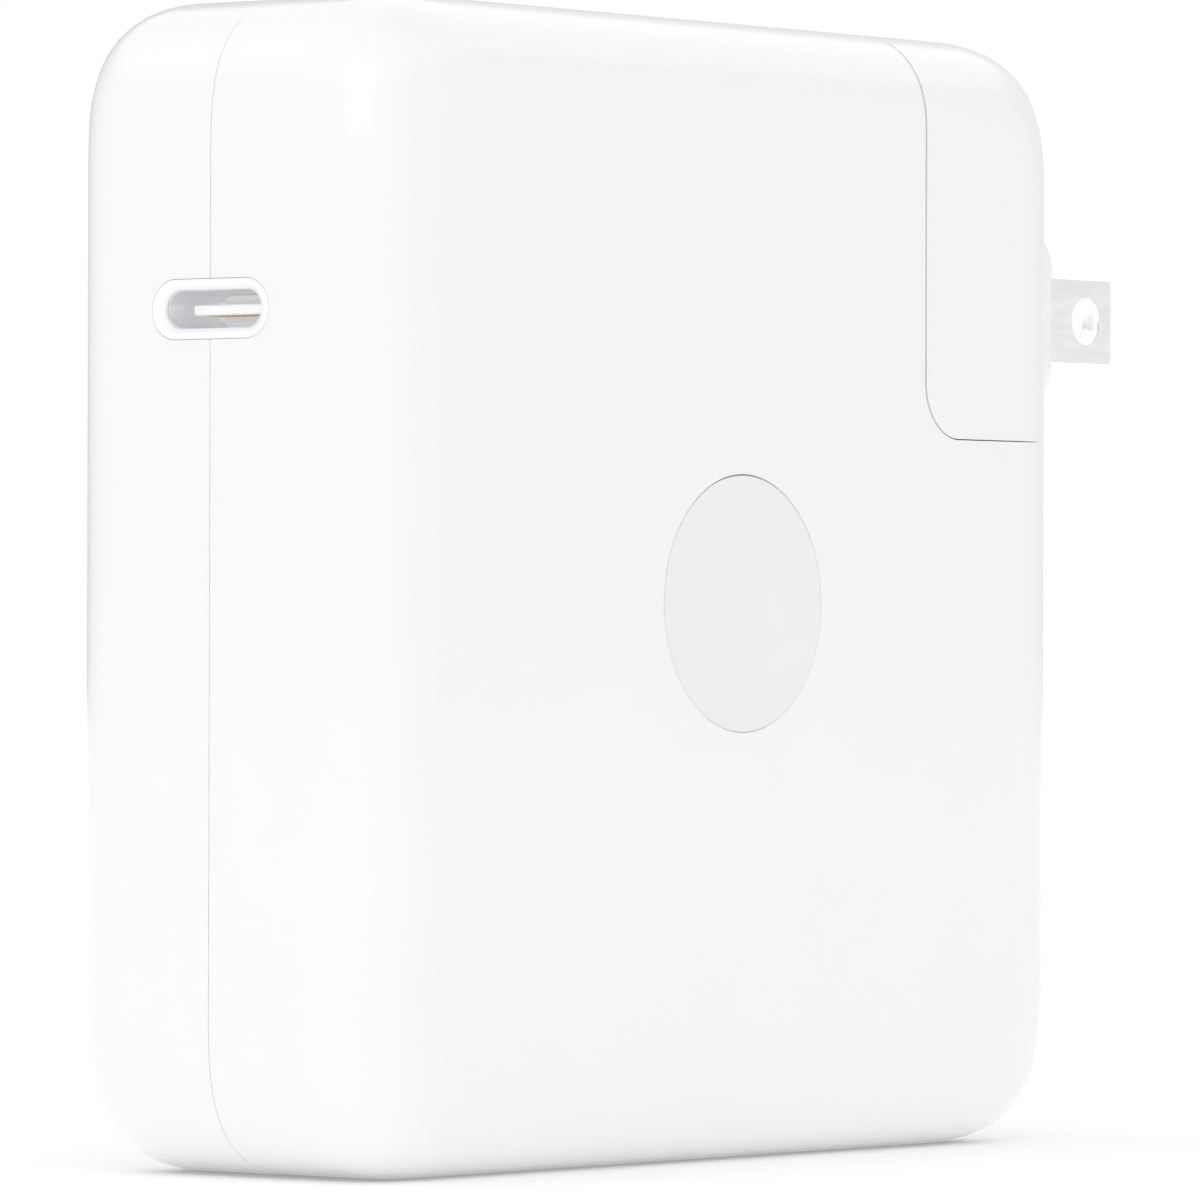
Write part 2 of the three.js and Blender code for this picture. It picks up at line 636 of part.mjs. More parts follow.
function bladeSlot(y) {
  const half = BLADE_THICKNESS / 2 + SLOT_CLEARANCE;
  const bladeBottom = BLADE_Z - BLADE_WIDTH / 2;
  const foldedTip = PIVOT_Z + BLADE_TIP_X - PIVOT_X;
  const foldedInner = PIVOT_X - (BLADE_Z - PIVOT_Z) - BLADE_WIDTH / 2;
  const mouth = block(
    [foldedInner - SLOT_BEHIND, y - half, bladeBottom - SLOT_CLEARANCE],
    [FAR, y + half, foldedTip + 2 * SLOT_CLEARANCE],
  );
  const tailRoom = block(
    [PIVOT_X - TAIL_ROOM, y - half, PIVOT_Z - TAIL_ROOM],
    [PIVOT_X + TAIL_ROOM / 2, y + half, PIVOT_Z],
  );
  return solid(mouth).add(solid(tailRoom));
}

function plugPad() {
  const shape = roundedRectangle(PAD_WIDTH, PAD_HEIGHT, PAD_CORNER, 0, PAD_Z);
  return solid(extrudeAlongX(shape, FACE_RIGHT - PAD_ROOT, FACE_RIGHT + PAD_PROUD - PAD_BEVEL, {
    bevelEnabled: true,
    bevelThickness: PAD_BEVEL,
    bevelSize: PAD_BEVEL,
    bevelOffset: -PAD_BEVEL,
    bevelSegments: 1,
    curveSegments: 5,
  }));
}

// The pocket for the slide plate, and behind it the groove that the stud runs up.
function studPocket() {
  const plateX = BAY_WALL_X + GAP + PLATE_ROOM;
  const pocketX = plateX + HEAD_ROOM;
  const low = SPLIT_Z - 1;
  const neck = STUD_NECK + GAP;
  const head = STUD_HEAD + 2 * GAP;
  const halfWidth = PLATE.width / 2 + GAP;
  const halfHeight = PLATE.height / 2 + GAP;
  const room = block(
    [BAY_WALL_X, -halfWidth, PLATE.z - halfHeight],
    [plateX, halfWidth, PLATE.z + halfHeight],
  );
  const neckRoom = block([BAY_WALL_X, -neck, low], [plateX + 0.1, neck, STUD_Z]);
  const headRoom = block([plateX - 0.1, -head, low], [pocketX, head, STUD_Z]);
  const headTop = rod(head, plateX - 0.1, pocketX, 'x').translate(0, 0, STUD_Z);
  return [room, neckRoom, headRoom, headTop].map(solid);
}

function plugHousing() {
  const contactX = BAY_WALL_X + GAP + PLATE_ROOM + HEAD_ROOM + CONTACT_ROOM.wall;
  const contactRoom = block(
    [contactX, -CONTACT_ROOM.halfWidth, SPLIT_Z + WALL],
    [PIVOT_X - 2.5, CONTACT_ROOM.halfWidth, CONTACT_ROOM.top],
  );
  const rotorHalf = ROTOR_HALF_LENGTH + GAP;
  const rotorRoom = rod(ROTOR_RADIUS + GAP, -rotorHalf, rotorHalf, 'y').translate(PIVOT_X, 0, PIVOT_Z);
  const scoop = rod(SCOOP.radius, -SCOOP.halfLength, SCOOP.halfLength, 'y').translate(SCOOP.x, 0, SCOOP.z);
  const cuts = [
    ...studPocket(),
    solid(contactRoom),
    solid(rotorRoom),
    solid(scoop),
    figureEight(LOBE_RADIUS + GAP, SPLIT_Z - 1, SPLIT_Z + WALL + 0.5),
    bladeSlot(-BLADE_PITCH / 2),
    bladeSlot(BLADE_PITCH / 2),
  ];
  const outer = roundedForm(0).intersect(bayRegion(-GAP / 2)).add(plugPad());
  return geometryOf(cuts.reduce((body, cut) => body.subtract(cut), outer));
}

function slidePlate() {
  const from = BAY_WALL_X + GAP + 0.15;
  const to = from + PLATE.thickness;
  const neck = STUD_NECK + GAP;
  const slotHeight = 40; // long enough to leave through the plate's lower edge
  const plate = roundedRectangle(PLATE.width, PLATE.height, PLATE.corner, 0, PLATE.z);
  const slot = roundedRectangle(2 * neck, slotHeight, neck - 0.01, 0, STUD_Z + neck - slotHeight / 2);
  const body = solid(extrudeAlongX(plate, from, to));
  return geometryOf(body.subtract(solid(extrudeAlongX(slot, from - 1, to + 1))));
}

function plugContacts(name, hand, noseBottom, noseTop) {
  const inner = Math.min(...CONTACT_EDGES.map((y) => hand * y));
  const outer = Math.max(...CONTACT_EDGES.map((y) => hand * y));
  const sleeve = PIN_RADIUS + SOCKET_CLEARANCE;
  const socket = tube(sleeve, sleeve + SOCKET_WALL, noseBottom + 1, noseTop, 'z', SMALL_STEPS);
  const bend = [
    [INLET_X, noseTop + 2 * GAP],
    [INLET_X, PIVOT_Z - 2.1],
    [CONTACT_X, PIVOT_Z],
    [CONTACT_X, CONTACT_TOP],
  ];
  const strip = extrudeAlongY(stripShape(bend, CONTACT_THICKNESS), inner, outer);
  return {
    [`socket_contact_${name}`]: [socket.translate(INLET_X, hand * HALF_PITCH, 0), FINISH.contact],
    [`blade_contact_${name}`]: [strip, FINISH.contact],
  };
}

function detentSpring() {
  const path = [
    [DETENT.x - DETENT.foot, PIVOT_Z - 4.6],
    [DETENT.x - DETENT.lean, PIVOT_Z - 2.8],
    [DETENT.x, PIVOT_Z],
    [DETENT.x - DETENT.lean, PIVOT_Z + 2.8],
  ];
  return extrudeAlongY(stripShape(path, DETENT.thickness), -DETENT.halfWidth, DETENT.halfWidth);
}

function plugUnit() {
  const noseBottom = SPLIT_Z - NOSE_DEPTH;
  const noseTop = SPLIT_Z + WALL - 0.1;
  const boreRadius = PIN_RADIUS + SOCKET_CLEARANCE + SOCKET_WALL + GAP;
  const nose = figureEight(LOBE_RADIUS, noseBottom, noseTop)
    .subtract(pinBores(boreRadius, noseBottom - 1, noseTop + 1));
  return {
    plug_housing: [plugHousing(), FINISH.whiteShell],
    slide_plate: [slidePlate(), FINISH.innerPlastic],
    figure_eight_nose: [geometryOf(nose), FINISH.innerPlastic],
    detent_spring: [detentSpring(), FINISH.steel],
    ...plugContacts('line', -1, noseBottom, noseTop),
    ...plugContacts('neutral', 1, noseBottom, noseTop),
  };
}

// ---------------------------------------------------------------- folding blades

// The blade from the side: a tang in the rotor, then the full width with a drilled hole near the tip.
function bladeSide() {
  const bottom = BLADE_Z - BLADE_WIDTH / 2;
  const top = BLADE_Z + BLADE_WIDTH / 2;
  const roundX = BLADE_TIP_X - BLADE_TIP_ROUND;
  const shoulderX = PIVOT_X + ROTOR_RADIUS + GAP;
  const side = new THREE.Shape();
  side.moveTo(PIVOT_X - BLADE_TAIL, bottom);
  side.lineTo(roundX, bottom);
  side.absarc(roundX, bottom + BLADE_TIP_ROUND, BLADE_TIP_ROUND, -Math.PI / 2, 0, false);
  side.absarc(roundX, top - BLADE_TIP_ROUND, BLADE_TIP_ROUND, 0, Math.PI / 2, false);
  side.lineTo(shoulderX, top);
  side.lineTo(shoulderX, PIVOT_Z + TANG_TOP);
  side.lineTo(PIVOT_X - BLADE_TAIL, PIVOT_Z + TANG_TOP);
  const hole = new THREE.Path();
  hole.absarc(BLADE_TIP_X - BLADE_HOLE_FROM_TIP, BLADE_Z, BLADE_HOLE_RADIUS, 0, Math.PI * 2, true);
  side.holes.push(hole);
  return side;
}

function blade(y) {
  const half = BLADE_THICKNESS / 2;
  const tipHalf = half * 0.4;
  const end = BLADE_TIP_X + 0.01;
  const plan = new THREE.Shape([
    new THREE.Vector2(0, -half),
    new THREE.Vector2(BLADE_TIP_X - BLADE_TIP_TAPER, -half),
    new THREE.Vector2(end, -tipHalf),
    new THREE.Vector2(end, tipHalf),
    new THREE.Vector2(BLADE_TIP_X - BLADE_TIP_TAPER, half),
    new THREE.Vector2(0, half),
  ]);
  const plate = solid(extrudeAlongY(bladeSide(), -half - 1, half + 1));
  const flat = plate.intersect(solid(extrudeAlongZ(plan, 0, FAR)));
  return geometryOf(flat).translate(0, y, 0);
}

function rotor() {
  const half = BLADE_THICKNESS / 2 + ROTOR_POCKET_GAP;
  const reach = ROTOR_RADIUS + 1;
  const low = BLADE_Z - BLADE_WIDTH / 2 - ROTOR_POCKET_GAP;
  const high = PIVOT_Z + TANG_TOP + ROTOR_POCKET_GAP;
  const pocket = (y) => solid(block([PIVOT_X - reach, y - half, low], [PIVOT_X + reach, y + half, high]));
  const barrel = rod(ROTOR_RADIUS, -ROTOR_HALF_LENGTH, ROTOR_HALF_LENGTH, 'y').translate(PIVOT_X, 0, PIVOT_Z);
  return geometryOf(solid(barrel).subtract(pocket(-BLADE_PITCH / 2)).subtract(pocket(BLADE_PITCH / 2)));
}

function foldingBlades() {
  return {
    prong_rotor: [rotor(), FINISH.rotor],
    blade_line: [blade(-BLADE_PITCH / 2), FINISH.blade],
    blade_neutral: [blade(BLADE_PITCH / 2), FINISH.blade],
  };
}

// ---------------------------------------------------------------- the assembly

function addMeshes(group, parts) {
  Object.entries(parts).forEach(([name, [geometry, finish]]) => {
    const mesh = new THREE.Mesh(geometry, new THREE.MeshStandardMaterial(finish));
    mesh.name = name;
    group.add(mesh);
  });
  return group;
}

const adapter = new THREE.Group();
addMeshes(adapter, shells());
addMeshes(adapter, usbPort());
addMeshes(adapter, mainsInlet());
addMeshes(adapter, studParts());
addMeshes(adapter, boardsAndSheets());
addMeshes(adapter, components());
addMeshes(adapter, wires());

const plug = addMeshes(new THREE.Group(), plugUnit());
plug.add(addMeshes(new THREE.Group(), foldingBlades()));
adapter.add(plug);

export default adapter;
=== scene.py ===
"""Looks for the laptop power adapter: smooth shells, port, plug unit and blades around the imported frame."""

import json
import math

import bmesh
import bpy
from mathutils import Matrix, Vector


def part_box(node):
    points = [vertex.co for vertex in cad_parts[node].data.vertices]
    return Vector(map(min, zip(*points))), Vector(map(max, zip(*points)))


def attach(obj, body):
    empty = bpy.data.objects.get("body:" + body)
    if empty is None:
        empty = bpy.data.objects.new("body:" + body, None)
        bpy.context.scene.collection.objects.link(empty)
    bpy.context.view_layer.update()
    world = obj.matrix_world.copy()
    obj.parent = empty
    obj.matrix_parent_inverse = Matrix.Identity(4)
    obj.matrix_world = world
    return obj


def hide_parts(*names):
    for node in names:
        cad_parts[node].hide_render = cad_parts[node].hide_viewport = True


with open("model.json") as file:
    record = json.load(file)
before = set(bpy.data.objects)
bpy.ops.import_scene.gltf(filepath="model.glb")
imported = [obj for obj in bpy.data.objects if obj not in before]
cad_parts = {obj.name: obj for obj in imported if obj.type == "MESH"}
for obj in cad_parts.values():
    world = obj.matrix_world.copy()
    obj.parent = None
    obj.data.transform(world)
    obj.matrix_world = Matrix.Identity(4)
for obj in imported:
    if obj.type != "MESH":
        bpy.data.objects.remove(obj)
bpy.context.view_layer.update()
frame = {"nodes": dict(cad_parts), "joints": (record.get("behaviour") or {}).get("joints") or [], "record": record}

MM = 0.001

# ---------------------------------------------------------------- sizes, in metres, and places from the frame

FRONT_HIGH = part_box("front_shell")[1]
REAR_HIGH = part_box("rear_shell")[1]
HOUSING_LOW, HOUSING_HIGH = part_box("plug_housing")
BEZEL_LOW, BEZEL_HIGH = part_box("port_bezel")
SLEEVE_LOW, SLEEVE_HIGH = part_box("usb_sleeve")
INSULATOR_LOW, INSULATOR_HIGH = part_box("usb_insulator")
TONGUE_LOW, TONGUE_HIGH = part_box("usb_tongue")
BLADE_LOW, BLADE_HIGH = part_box("blade_line")
ROTOR_LOW, ROTOR_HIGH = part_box("prong_rotor")
NOSE_LOW, NOSE_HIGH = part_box("figure_eight_nose")
INLET_LOW, INLET_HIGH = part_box("inlet_housing")
PIN_LOW, PIN_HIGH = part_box("inlet_pin_line")
PLATE_LOW, PLATE_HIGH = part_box("slide_plate")
STUD_LOW, STUD_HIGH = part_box("mounting_stud")

HALF_WIDTH = FRONT_HIGH.x
HALF_HEIGHT = FRONT_HIGH.z / 2
HALF_THICKNESS = REAR_HIGH.y
CORNER_REACH = 11.5 * MM  # how far a corner's curve runs along each side
CORNER_POWER = 3
EDGE_REACH = 6.9 * MM  # the rounding between a wide face and the narrow sides
EDGE_POWER = 2.2
WALL = 2.2 * MM
OVERLAP = 1 * MM  # how far a helper shape runs past the surface that it cuts or joins
FAR = 0.1  # past the whole object in every direction
TINY = 0.001 * MM  # keeps two points of an outline from falling together
SEAM = 0.03 * MM  # half of the gap between the shells
SPLIT_GAP_X = 0.1 * MM  # half of the gap beside the plug unit
SPLIT_GAP_Z = 0.04 * MM  # half of the gap under the plug unit
LIP = 0.11 * MM  # rounding of the shells' cut edges
CAD_GAP = 0.3 * MM  # the CAD's clearance between pieces that face each other
SPLIT_X = HOUSING_LOW.x - CAD_GAP / 2
SPLIT_Z = HOUSING_LOW.z - CAD_GAP / 2
SPLIT_RADIUS = 4 * MM
MARK_RADIUS = 9 * MM
MARK_DEPTH = 0.06 * MM
MARK_GROOVE = 0.5 * MM  # depth of the fine groove between the recess's floor and its edge
INLAY_RADIUS = 8.93 * MM
INLAY_SHIFT = Vector((0.055 * MM, 0, -0.035 * MM))  # makes the groove widest at the upper left
MARK_CENTRE = Vector((0, -HALF_THICKNESS, 39 * MM))

PORT_Z = (BEZEL_LOW.z + BEZEL_HIGH.z) / 2
RING_WIDTH = BEZEL_HIGH.y - BEZEL_LOW.y
RING_HEIGHT = BEZEL_HIGH.z - BEZEL_LOW.z
RING_GAP = 0.02 * MM
MOUTH_WIDTH = 8.43 * MM
MOUTH_HEIGHT = 2.57 * MM
PORT_HOLE_DEPTH = 3.5 * MM
SLEEVE_SET_BACK = 0.62 * MM  # from the ring's front to the sleeve
USB_WALL = 0.25 * MM
TONGUE_CORNER = 0.45 * MM
NOTCH_DEPTH = 0.35 * MM
NOTCH_START = 1.7 * MM
NOTCH_END = 2.6 * MM
FOOT_HEIGHT = 1.4 * MM
FOOT_LENGTH = 0.9 * MM
FOOT_SIDE = 0.6 * MM  # how far the foot stays inside the insulator on each side
CONTACT_PITCH = 0.5 * MM
CONTACT_WIDTH = 0.25 * MM
CONTACT_START = 0.8 * MM
CONTACT_END = 0.4 * MM
CONTACT_PROUD = 0.02 * MM
CONTACTS_PER_SIDE = 12

PIN_HALF_PITCH = -(PIN_LOW.y + PIN_HIGH.y) / 2
PIN_RADIUS = (PIN_HIGH.x - PIN_LOW.x) / 2
INLET_X = (NOSE_LOW.x + NOSE_HIGH.x) / 2
LOBE = (NOSE_HIGH.x - NOSE_LOW.x) / 2
INLET_COLLAR = 0.9 * MM
INLET_DEPTH = 9.3 * MM
INLET_HOLE_GAP = 0.15 * MM
WEB_SINE = 0.8  # sine of the angle at which the straight web leaves a lobe
HOLE_REACH = 4 * MM  # how far the holes for the inlet and the stud go into the body
PIN_TIP = 0.9 * MM
PIN_TIP_FLAT = 0.25  # share of the pin's radius left flat at its tip
SOCKET_RADIUS = 1.9 * MM

STUD_Z = (STUD_LOW.z + STUD_HIGH.z) / 2
STUD_HEAD = (STUD_HIGH.z - STUD_LOW.z) / 2
STUD_HEAD_THICKNESS = 1.5 * MM
STUD_NECK = 2.4 * MM
STUD_TAIL = 1.6 * MM
STUD_RIM = 0.45 * MM
STUD_SOCKET = 1.2 * MM
STUD_SOCKET_DEPTH = 0.2 * MM

PIVOT = Vector(next(joint["pos_m"] for joint in frame["joints"] if joint["name"] == "blade_fold"))
BLADE_Y = -(BLADE_LOW.y + BLADE_HIGH.y) / 2
BLADE_HALF = (BLADE_HIGH.y - BLADE_LOW.y) / 2
BLADE_Z = (BLADE_LOW.z + BLADE_HIGH.z) / 2
TIP_ROUND = 0.55 * MM
TIP_TAPER = 0.3 * MM
TANG_TOP = PIVOT.z + 1.4 * MM
HOLE_FROM_TIP = 3.4 * MM
HOLE_RADIUS = 1.5 * MM
COUNTERSINK = 0.2 * MM
TIP_THICKNESS = 0.85  # share of the blade's thickness left at its tip
ROTOR_RADIUS = (ROTOR_HIGH.z - ROTOR_LOW.z) / 2
ROTOR_POCKET_GAP = 0.15 * MM
ROTOR_EDGE = 0.3 * MM
DETENT_FLAT = 0.35 * MM
DETENT_HALF = 2.6 * MM

PAD_WIDTH = 23.4 * MM
PAD_HEIGHT = 13.2 * MM
PAD_Z = 60.2 * MM
PAD_FRONT = HOUSING_HIGH.x
PAD_CORNER = 3 * MM
PAD_ROUND = 0.7 * MM
PAD_ROOT = 3 * MM

PLATE_ROOM = 1.95 * MM  # depth of the slide plate's pocket in the plug unit
HEAD_ROOM = 2.2 * MM  # depth of the groove for the stud's head, behind that pocket
PLATE_GAP = 0.1 * MM
SLOT_GAP = 0.25 * MM
SLOT_INNER = 1.6 * MM
SLOT_END = 0.6 * MM
SLOT_TAIL = 4.1 * MM
CONTACT_ROOM_START = 5.15 * MM  # from the plug unit's inner face
CONTACT_ROOM_END = 2.5 * MM  # before the blades' pivot
CONTACT_ROOM_HALF = 9 * MM
CONTACT_ROOM_TOP = 64 * MM
SCOOP_RADIUS = 6.5 * MM
SCOOP_HALF = 4.4 * MM
SCOOP_CENTRE = (43.6 * MM, 0, 73 * MM)
PLATE_CORNER = 1 * MM
MOUTH_FLARE = 1.4 * MM
MOUTH_RISE = 3 * MM

MOTTLE_SCALE = 90
POLISH_SCALE = 420
PEEL_SCALE = 900
GRAIN_SCALE = 1800
WEAVE_SCALE = 420
BOARD_POLISH_SCALE = 600
WINDING_SCALE = 500
CHOKE_TURNS = 44

# ---------------------------------------------------------------- mesh helpers


def object_from(name, vertices, faces):
    mesh = bpy.data.meshes.new(name)
    mesh.from_pydata([tuple(v) for v in vertices], [], faces)
    made = bpy.data.objects.new(name, mesh)
    bpy.context.scene.collection.objects.link(made)
    fix_normals(made)
    return made


def fix_normals(target):
    net = bmesh.new()
    net.from_mesh(target.data)
    bmesh.ops.recalc_face_normals(net, faces=net.faces)
    net.to_mesh(target.data)
    net.free()


def loft(name, rings, closed=False):
    """A surface through rings of equal length: capped at both ends, or closed on itself."""
    count = len(rings[0])
    vertices = [point for ring in rings for point in ring]
    faces = []
    last = len(rings) if closed else len(rings) - 1
    for ring in range(last):
        here = ring * count
        there = (ring + 1) % len(rings) * count
        for point in range(count):
            after = (point + 1) % count
            faces.append((here + point, here + after, there + after, there + point))
    if not closed:
        faces.append(tuple(range(count)))
        faces.append(tuple(range(len(vertices) - count, len(vertices))))
    return object_from(name, vertices, faces)


def prism(name, points, axis, low, high):
    """A flat outline pushed along one axis: its points are the two other coordinates, in X, Y, Z order."""
    def place(point, along):
        coordinates = list(point)
        coordinates.insert("xyz".index(axis), along)
        return coordinates
    return loft(name, [[place(p, low) for p in points], [place(p, high) for p in points]])


def block(name, low, high):
    outline_points = [(low[0], low[1]), (high[0], low[1]), (high[0], high[1]), (low[0], high[1])]
    return prism(name, outline_points, "z", low[2], high[2])


def turned(name, profile, axis, centre, steps=96):
    """A profile of (radius, distance along the axis), turned about an axis through centre."""
    order = {"x": (1, 2, 0), "y": (2, 0, 1), "z": (0, 1, 2)}[axis]
    rings = []
    for radius, along in profile:
        ring = []
        for step in range(steps):
            angle = 2 * math.pi * step / steps
            values = (radius * math.cos(angle), radius * math.sin(angle), along)
            point = [0, 0, 0]
            for value, place in zip(values, order):
                point[place] = value + centre[place]
            ring.append(point)
        rings.append(ring)
    return loft(name, rings)


def rod(name, radius, low, high, axis, centre, steps=96):
    return turned(name, [(radius, low), (radius, high)], axis, centre, steps)


def arc(centre, radius, start, end, steps):
    """Points of a circular arc, with angles in degrees."""
    points = []
    for step in range(steps + 1):
        angle = math.radians(start + (end - start) * step / steps)
        points.append((centre[0] + radius * math.cos(angle), centre[1] + radius * math.sin(angle)))
    return points


def rounded_rectangle(width, height, radius, centre=(0, 0), steps=10):
    across = width / 2 - radius
    upward = height / 2 - radius
    points = []
    for quarter, (a, b) in enumerate(((1, 1), (-1, 1), (-1, -1), (1, -1))):
        corner = (centre[0] + a * across, centre[1] + b * upward)
        points += arc(corner, radius, quarter * 90, quarter * 90 + 90, steps)
    return points


def stadium(width, height, centre=(0, 0), steps=20):
    return rounded_rectangle(width, height, height / 2 - TINY, centre, steps)


def apply_modifiers(target):
    graph = bpy.context.evaluated_depsgraph_get()
    result = bpy.data.meshes.new_from_object(target.evaluated_get(graph))
    target.modifiers.clear()
    target.data = result


def combine(target, other, operation):
    modifier = target.modifiers.new("combine", "BOOLEAN")
    modifier.operation = operation
    modifier.object = other
    modifier.solver = "EXACT"
    apply_modifiers(target)
    bpy.data.objects.remove(other)
    return target


def cut(target, *cutters):
    for cutter in cutters:
        combine(target, cutter, "DIFFERENCE")
    return target


def soften(target, width, segments=3, angle=32):
    """Rounds every sharp edge and evens the shading."""
    bevel = target.modifiers.new("bevel", "BEVEL")
    bevel.limit_method = "ANGLE"
    bevel.angle_limit = math.radians(angle)
    bevel.width = width
    bevel.segments = segments
    bevel.use_clamp_overlap = True
    bevel.miter_outer = "MITER_ARC"
    apply_modifiers(target)
    return smooth(target)


def smooth(target):
    target.data.shade_smooth()
    weighted = target.modifiers.new("weighted", "WEIGHTED_NORMAL")
    weighted.mode = "FACE_AREA_WITH_ANGLE"
    weighted.keep_sharp = True
    apply_modifiers(target)
    return target


def finish_piece(piece, body, slot, material, *nodes):
    piece.data.materials.clear()
    piece.data.materials.append(material)
    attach(piece, body)
    if nodes:
        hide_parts(*nodes)
    return piece


# ---------------------------------------------------------------- outer form


def superellipse(angle, power):
    across = max(math.cos(angle), 0)
    upward = max(math.sin(angle), 0)
    radius = (across ** power + upward ** power) ** (-1 / power)
    return across * radius, upward * radius


def outline(inset, steps):
    """The adapter's outline from the front, drawn in by inset, as (x, z) points."""
    reach = CORNER_REACH - inset
    corner_x = HALF_WIDTH - inset - reach
    corner_z = HALF_HEIGHT - inset - reach
    points = []
    for quarter in range(4):
        for step in range(steps + 1):
            across, upward = superellipse(step / steps * math.pi / 2, CORNER_POWER)
            a = corner_x + reach * across
            b = corner_z + reach * upward
            x, z = ((a, b), (-b, a), (-a, -b), (b, -a))[quarter]
            points.append((x, HALF_HEIGHT + z))
    return points


def rounded_form(name, inset=0.0, corner_steps=28, edge_steps=14):
    reach = EDGE_REACH - inset
    face = HALF_THICKNESS - inset
    half = []
    for step in range(edge_steps + 1):
        across, outward = superellipse(step / edge_steps * math.pi / 2, EDGE_POWER)
        half.append((face - reach * (1 - outward), inset + reach * (1 - across)))
    rows = [(-y, drawn) for y, drawn in reversed(half)] + half
    rings = [[(x, y, z) for x, z in outline(drawn, corner_steps)] for y, drawn in rows]
    return loft(name, rings)


def bay_region(grow_x, grow_z):
    """The corner bay's space, grown on its upright side and on its floor."""
    centre = (SPLIT_X + SPLIT_RADIUS, SPLIT_Z + SPLIT_RADIUS)
    points = [(FAR, FAR + HALF_HEIGHT), (SPLIT_X - grow_x, FAR + HALF_HEIGHT)]
    for a, b in arc((0, 0), 1, 180, 270, 20):
        points.append((centre[0] + a * (SPLIT_RADIUS + grow_x), centre[1] + b * (SPLIT_RADIUS + grow_z)))
    points.append((FAR, SPLIT_Z - grow_z))
    return prism("bay", points, "y", -FAR, FAR)


def figure_eight(name, lobe, low, high, steps=40):
    """Two lobes side by side along Y with a straight web, pushed along Z."""
    lean = math.degrees(math.asin(WEB_SINE))
    points = arc((INLET_X, PIN_HALF_PITCH), lobe, lean - 90, 270 - lean, steps)
    points += arc((INLET_X, -PIN_HALF_PITCH), lobe, 90 + lean, 450 - lean, steps)
    return prism(name, points, "z", low, high)


def pin_bores(radius, low, high):
    for side in (-1, 1):
        yield rod("bore", radius, low, high, "z", (INLET_X, side * PIN_HALF_PITCH, 0), 64)


# ---------------------------------------------------------------- materials


class Shading:
    """A material's nodes, with short calls for what each one here needs."""

    def __init__(self, name):
        self.material = bpy.data.materials.new(name)
        self.material.use_nodes = True
        self.nodes = self.material.node_tree.nodes
        self.links = self.material.node_tree.links
        self.shader = self.nodes["Principled BSDF"]
        self.position = self.add("ShaderNodeTexCoord").outputs["Object"]

    def add(self, kind, **values):
        node = self.nodes.new(kind)
        for key, value in values.items():
            setattr(node, key, value)
        return node

    def join(self, source, target):
        self.links.new(source, target)

    def set(self, **values):
        for key, value in values.items():
            self.shader.inputs[key.replace("_", " ")].default_value = value

    def mapped(self, stretch=(1, 1, 1), shift=(0, 0, 0)):
        mapping = self.add("ShaderNodeMapping")
        mapping.inputs["Scale"].default_value = stretch
        mapping.inputs["Location"].default_value = shift
        self.join(self.position, mapping.inputs["Vector"])
        return mapping.outputs["Vector"]

    def noise(self, scale, detail=2.0, stretch=(1, 1, 1)):
        noise = self.add("ShaderNodeTexNoise")
        noise.inputs["Scale"].default_value = scale
        noise.inputs["Detail"].default_value = detail
        self.join(self.mapped(stretch), noise.inputs["Vector"])
        return noise.outputs["Fac"]

    def cells(self, scale, feature="F1"):
        cells = self.add("ShaderNodeTexVoronoi", feature=feature)
        cells.inputs["Scale"].default_value = scale
        self.join(self.position, cells.inputs["Vector"])
        return cells.outputs["Distance"]

    def bands(self, scale, direction="X"):
        bands = self.add("ShaderNodeTexWave", wave_type="BANDS", bands_direction=direction)
        bands.inputs["Scale"].default_value = scale
        bands.inputs["Distortion"].default_value = 0.4
        self.join(self.position, bands.inputs["Vector"])
        return bands.outputs["Fac"]

    def turns(self, centre, count):
        """A wave that repeats round an axis along Y through centre, as turns of wire do on a toroid."""
        parts = self.add("ShaderNodeSeparateXYZ")
        self.join(self.mapped(shift=-centre), parts.inputs["Vector"])
        angle = self.add("ShaderNodeMath", operation="ARCTAN2")
        self.join(parts.outputs["X"], angle.inputs[0])
        self.join(parts.outputs["Z"], angle.inputs[1])
        times = self.add("ShaderNodeMath", operation="MULTIPLY")
        times.inputs[1].default_value = count
        self.join(angle.outputs[0], times.inputs[0])
        wave = self.add("ShaderNodeMath", operation="SINE")
        self.join(times.outputs[0], wave.inputs[0])
        return self.spread(wave.outputs[0], 0, 1, -1, 1)

    def spread(self, value, low, high, start=0.3, end=0.7):
        ranged = self.add("ShaderNodeMapRange")
        ranged.inputs["From Min"].default_value = start
        ranged.inputs["From Max"].default_value = end
        ranged.inputs["To Min"].default_value = low
        ranged.inputs["To Max"].default_value = high
        self.join(value, ranged.inputs["Value"])
        return ranged.outputs["Result"]

    def colour(self, value, first, second, start=0.35, end=0.65):
        ramp = self.add("ShaderNodeValToRGB")
        ramp.color_ramp.elements[0].position = start
        ramp.color_ramp.elements[1].position = end
        ramp.color_ramp.elements[0].color = (*first, 1)
        ramp.color_ramp.elements[1].color = (*second, 1)
        self.join(value, ramp.inputs["Fac"])
        self.join(ramp.outputs["Color"], self.shader.inputs["Base Color"])

    def roughness(self, value, low, high):
        self.join(self.spread(value, low, high), self.shader.inputs["Roughness"])

    def bump(self, value, strength, distance):
        bump = self.add("ShaderNodeBump")
        bump.inputs["Strength"].default_value = strength
        bump.inputs["Distance"].default_value = distance
        self.join(value, bump.inputs["Height"])
        self.join(bump.outputs["Normal"], self.shader.inputs["Normal"])


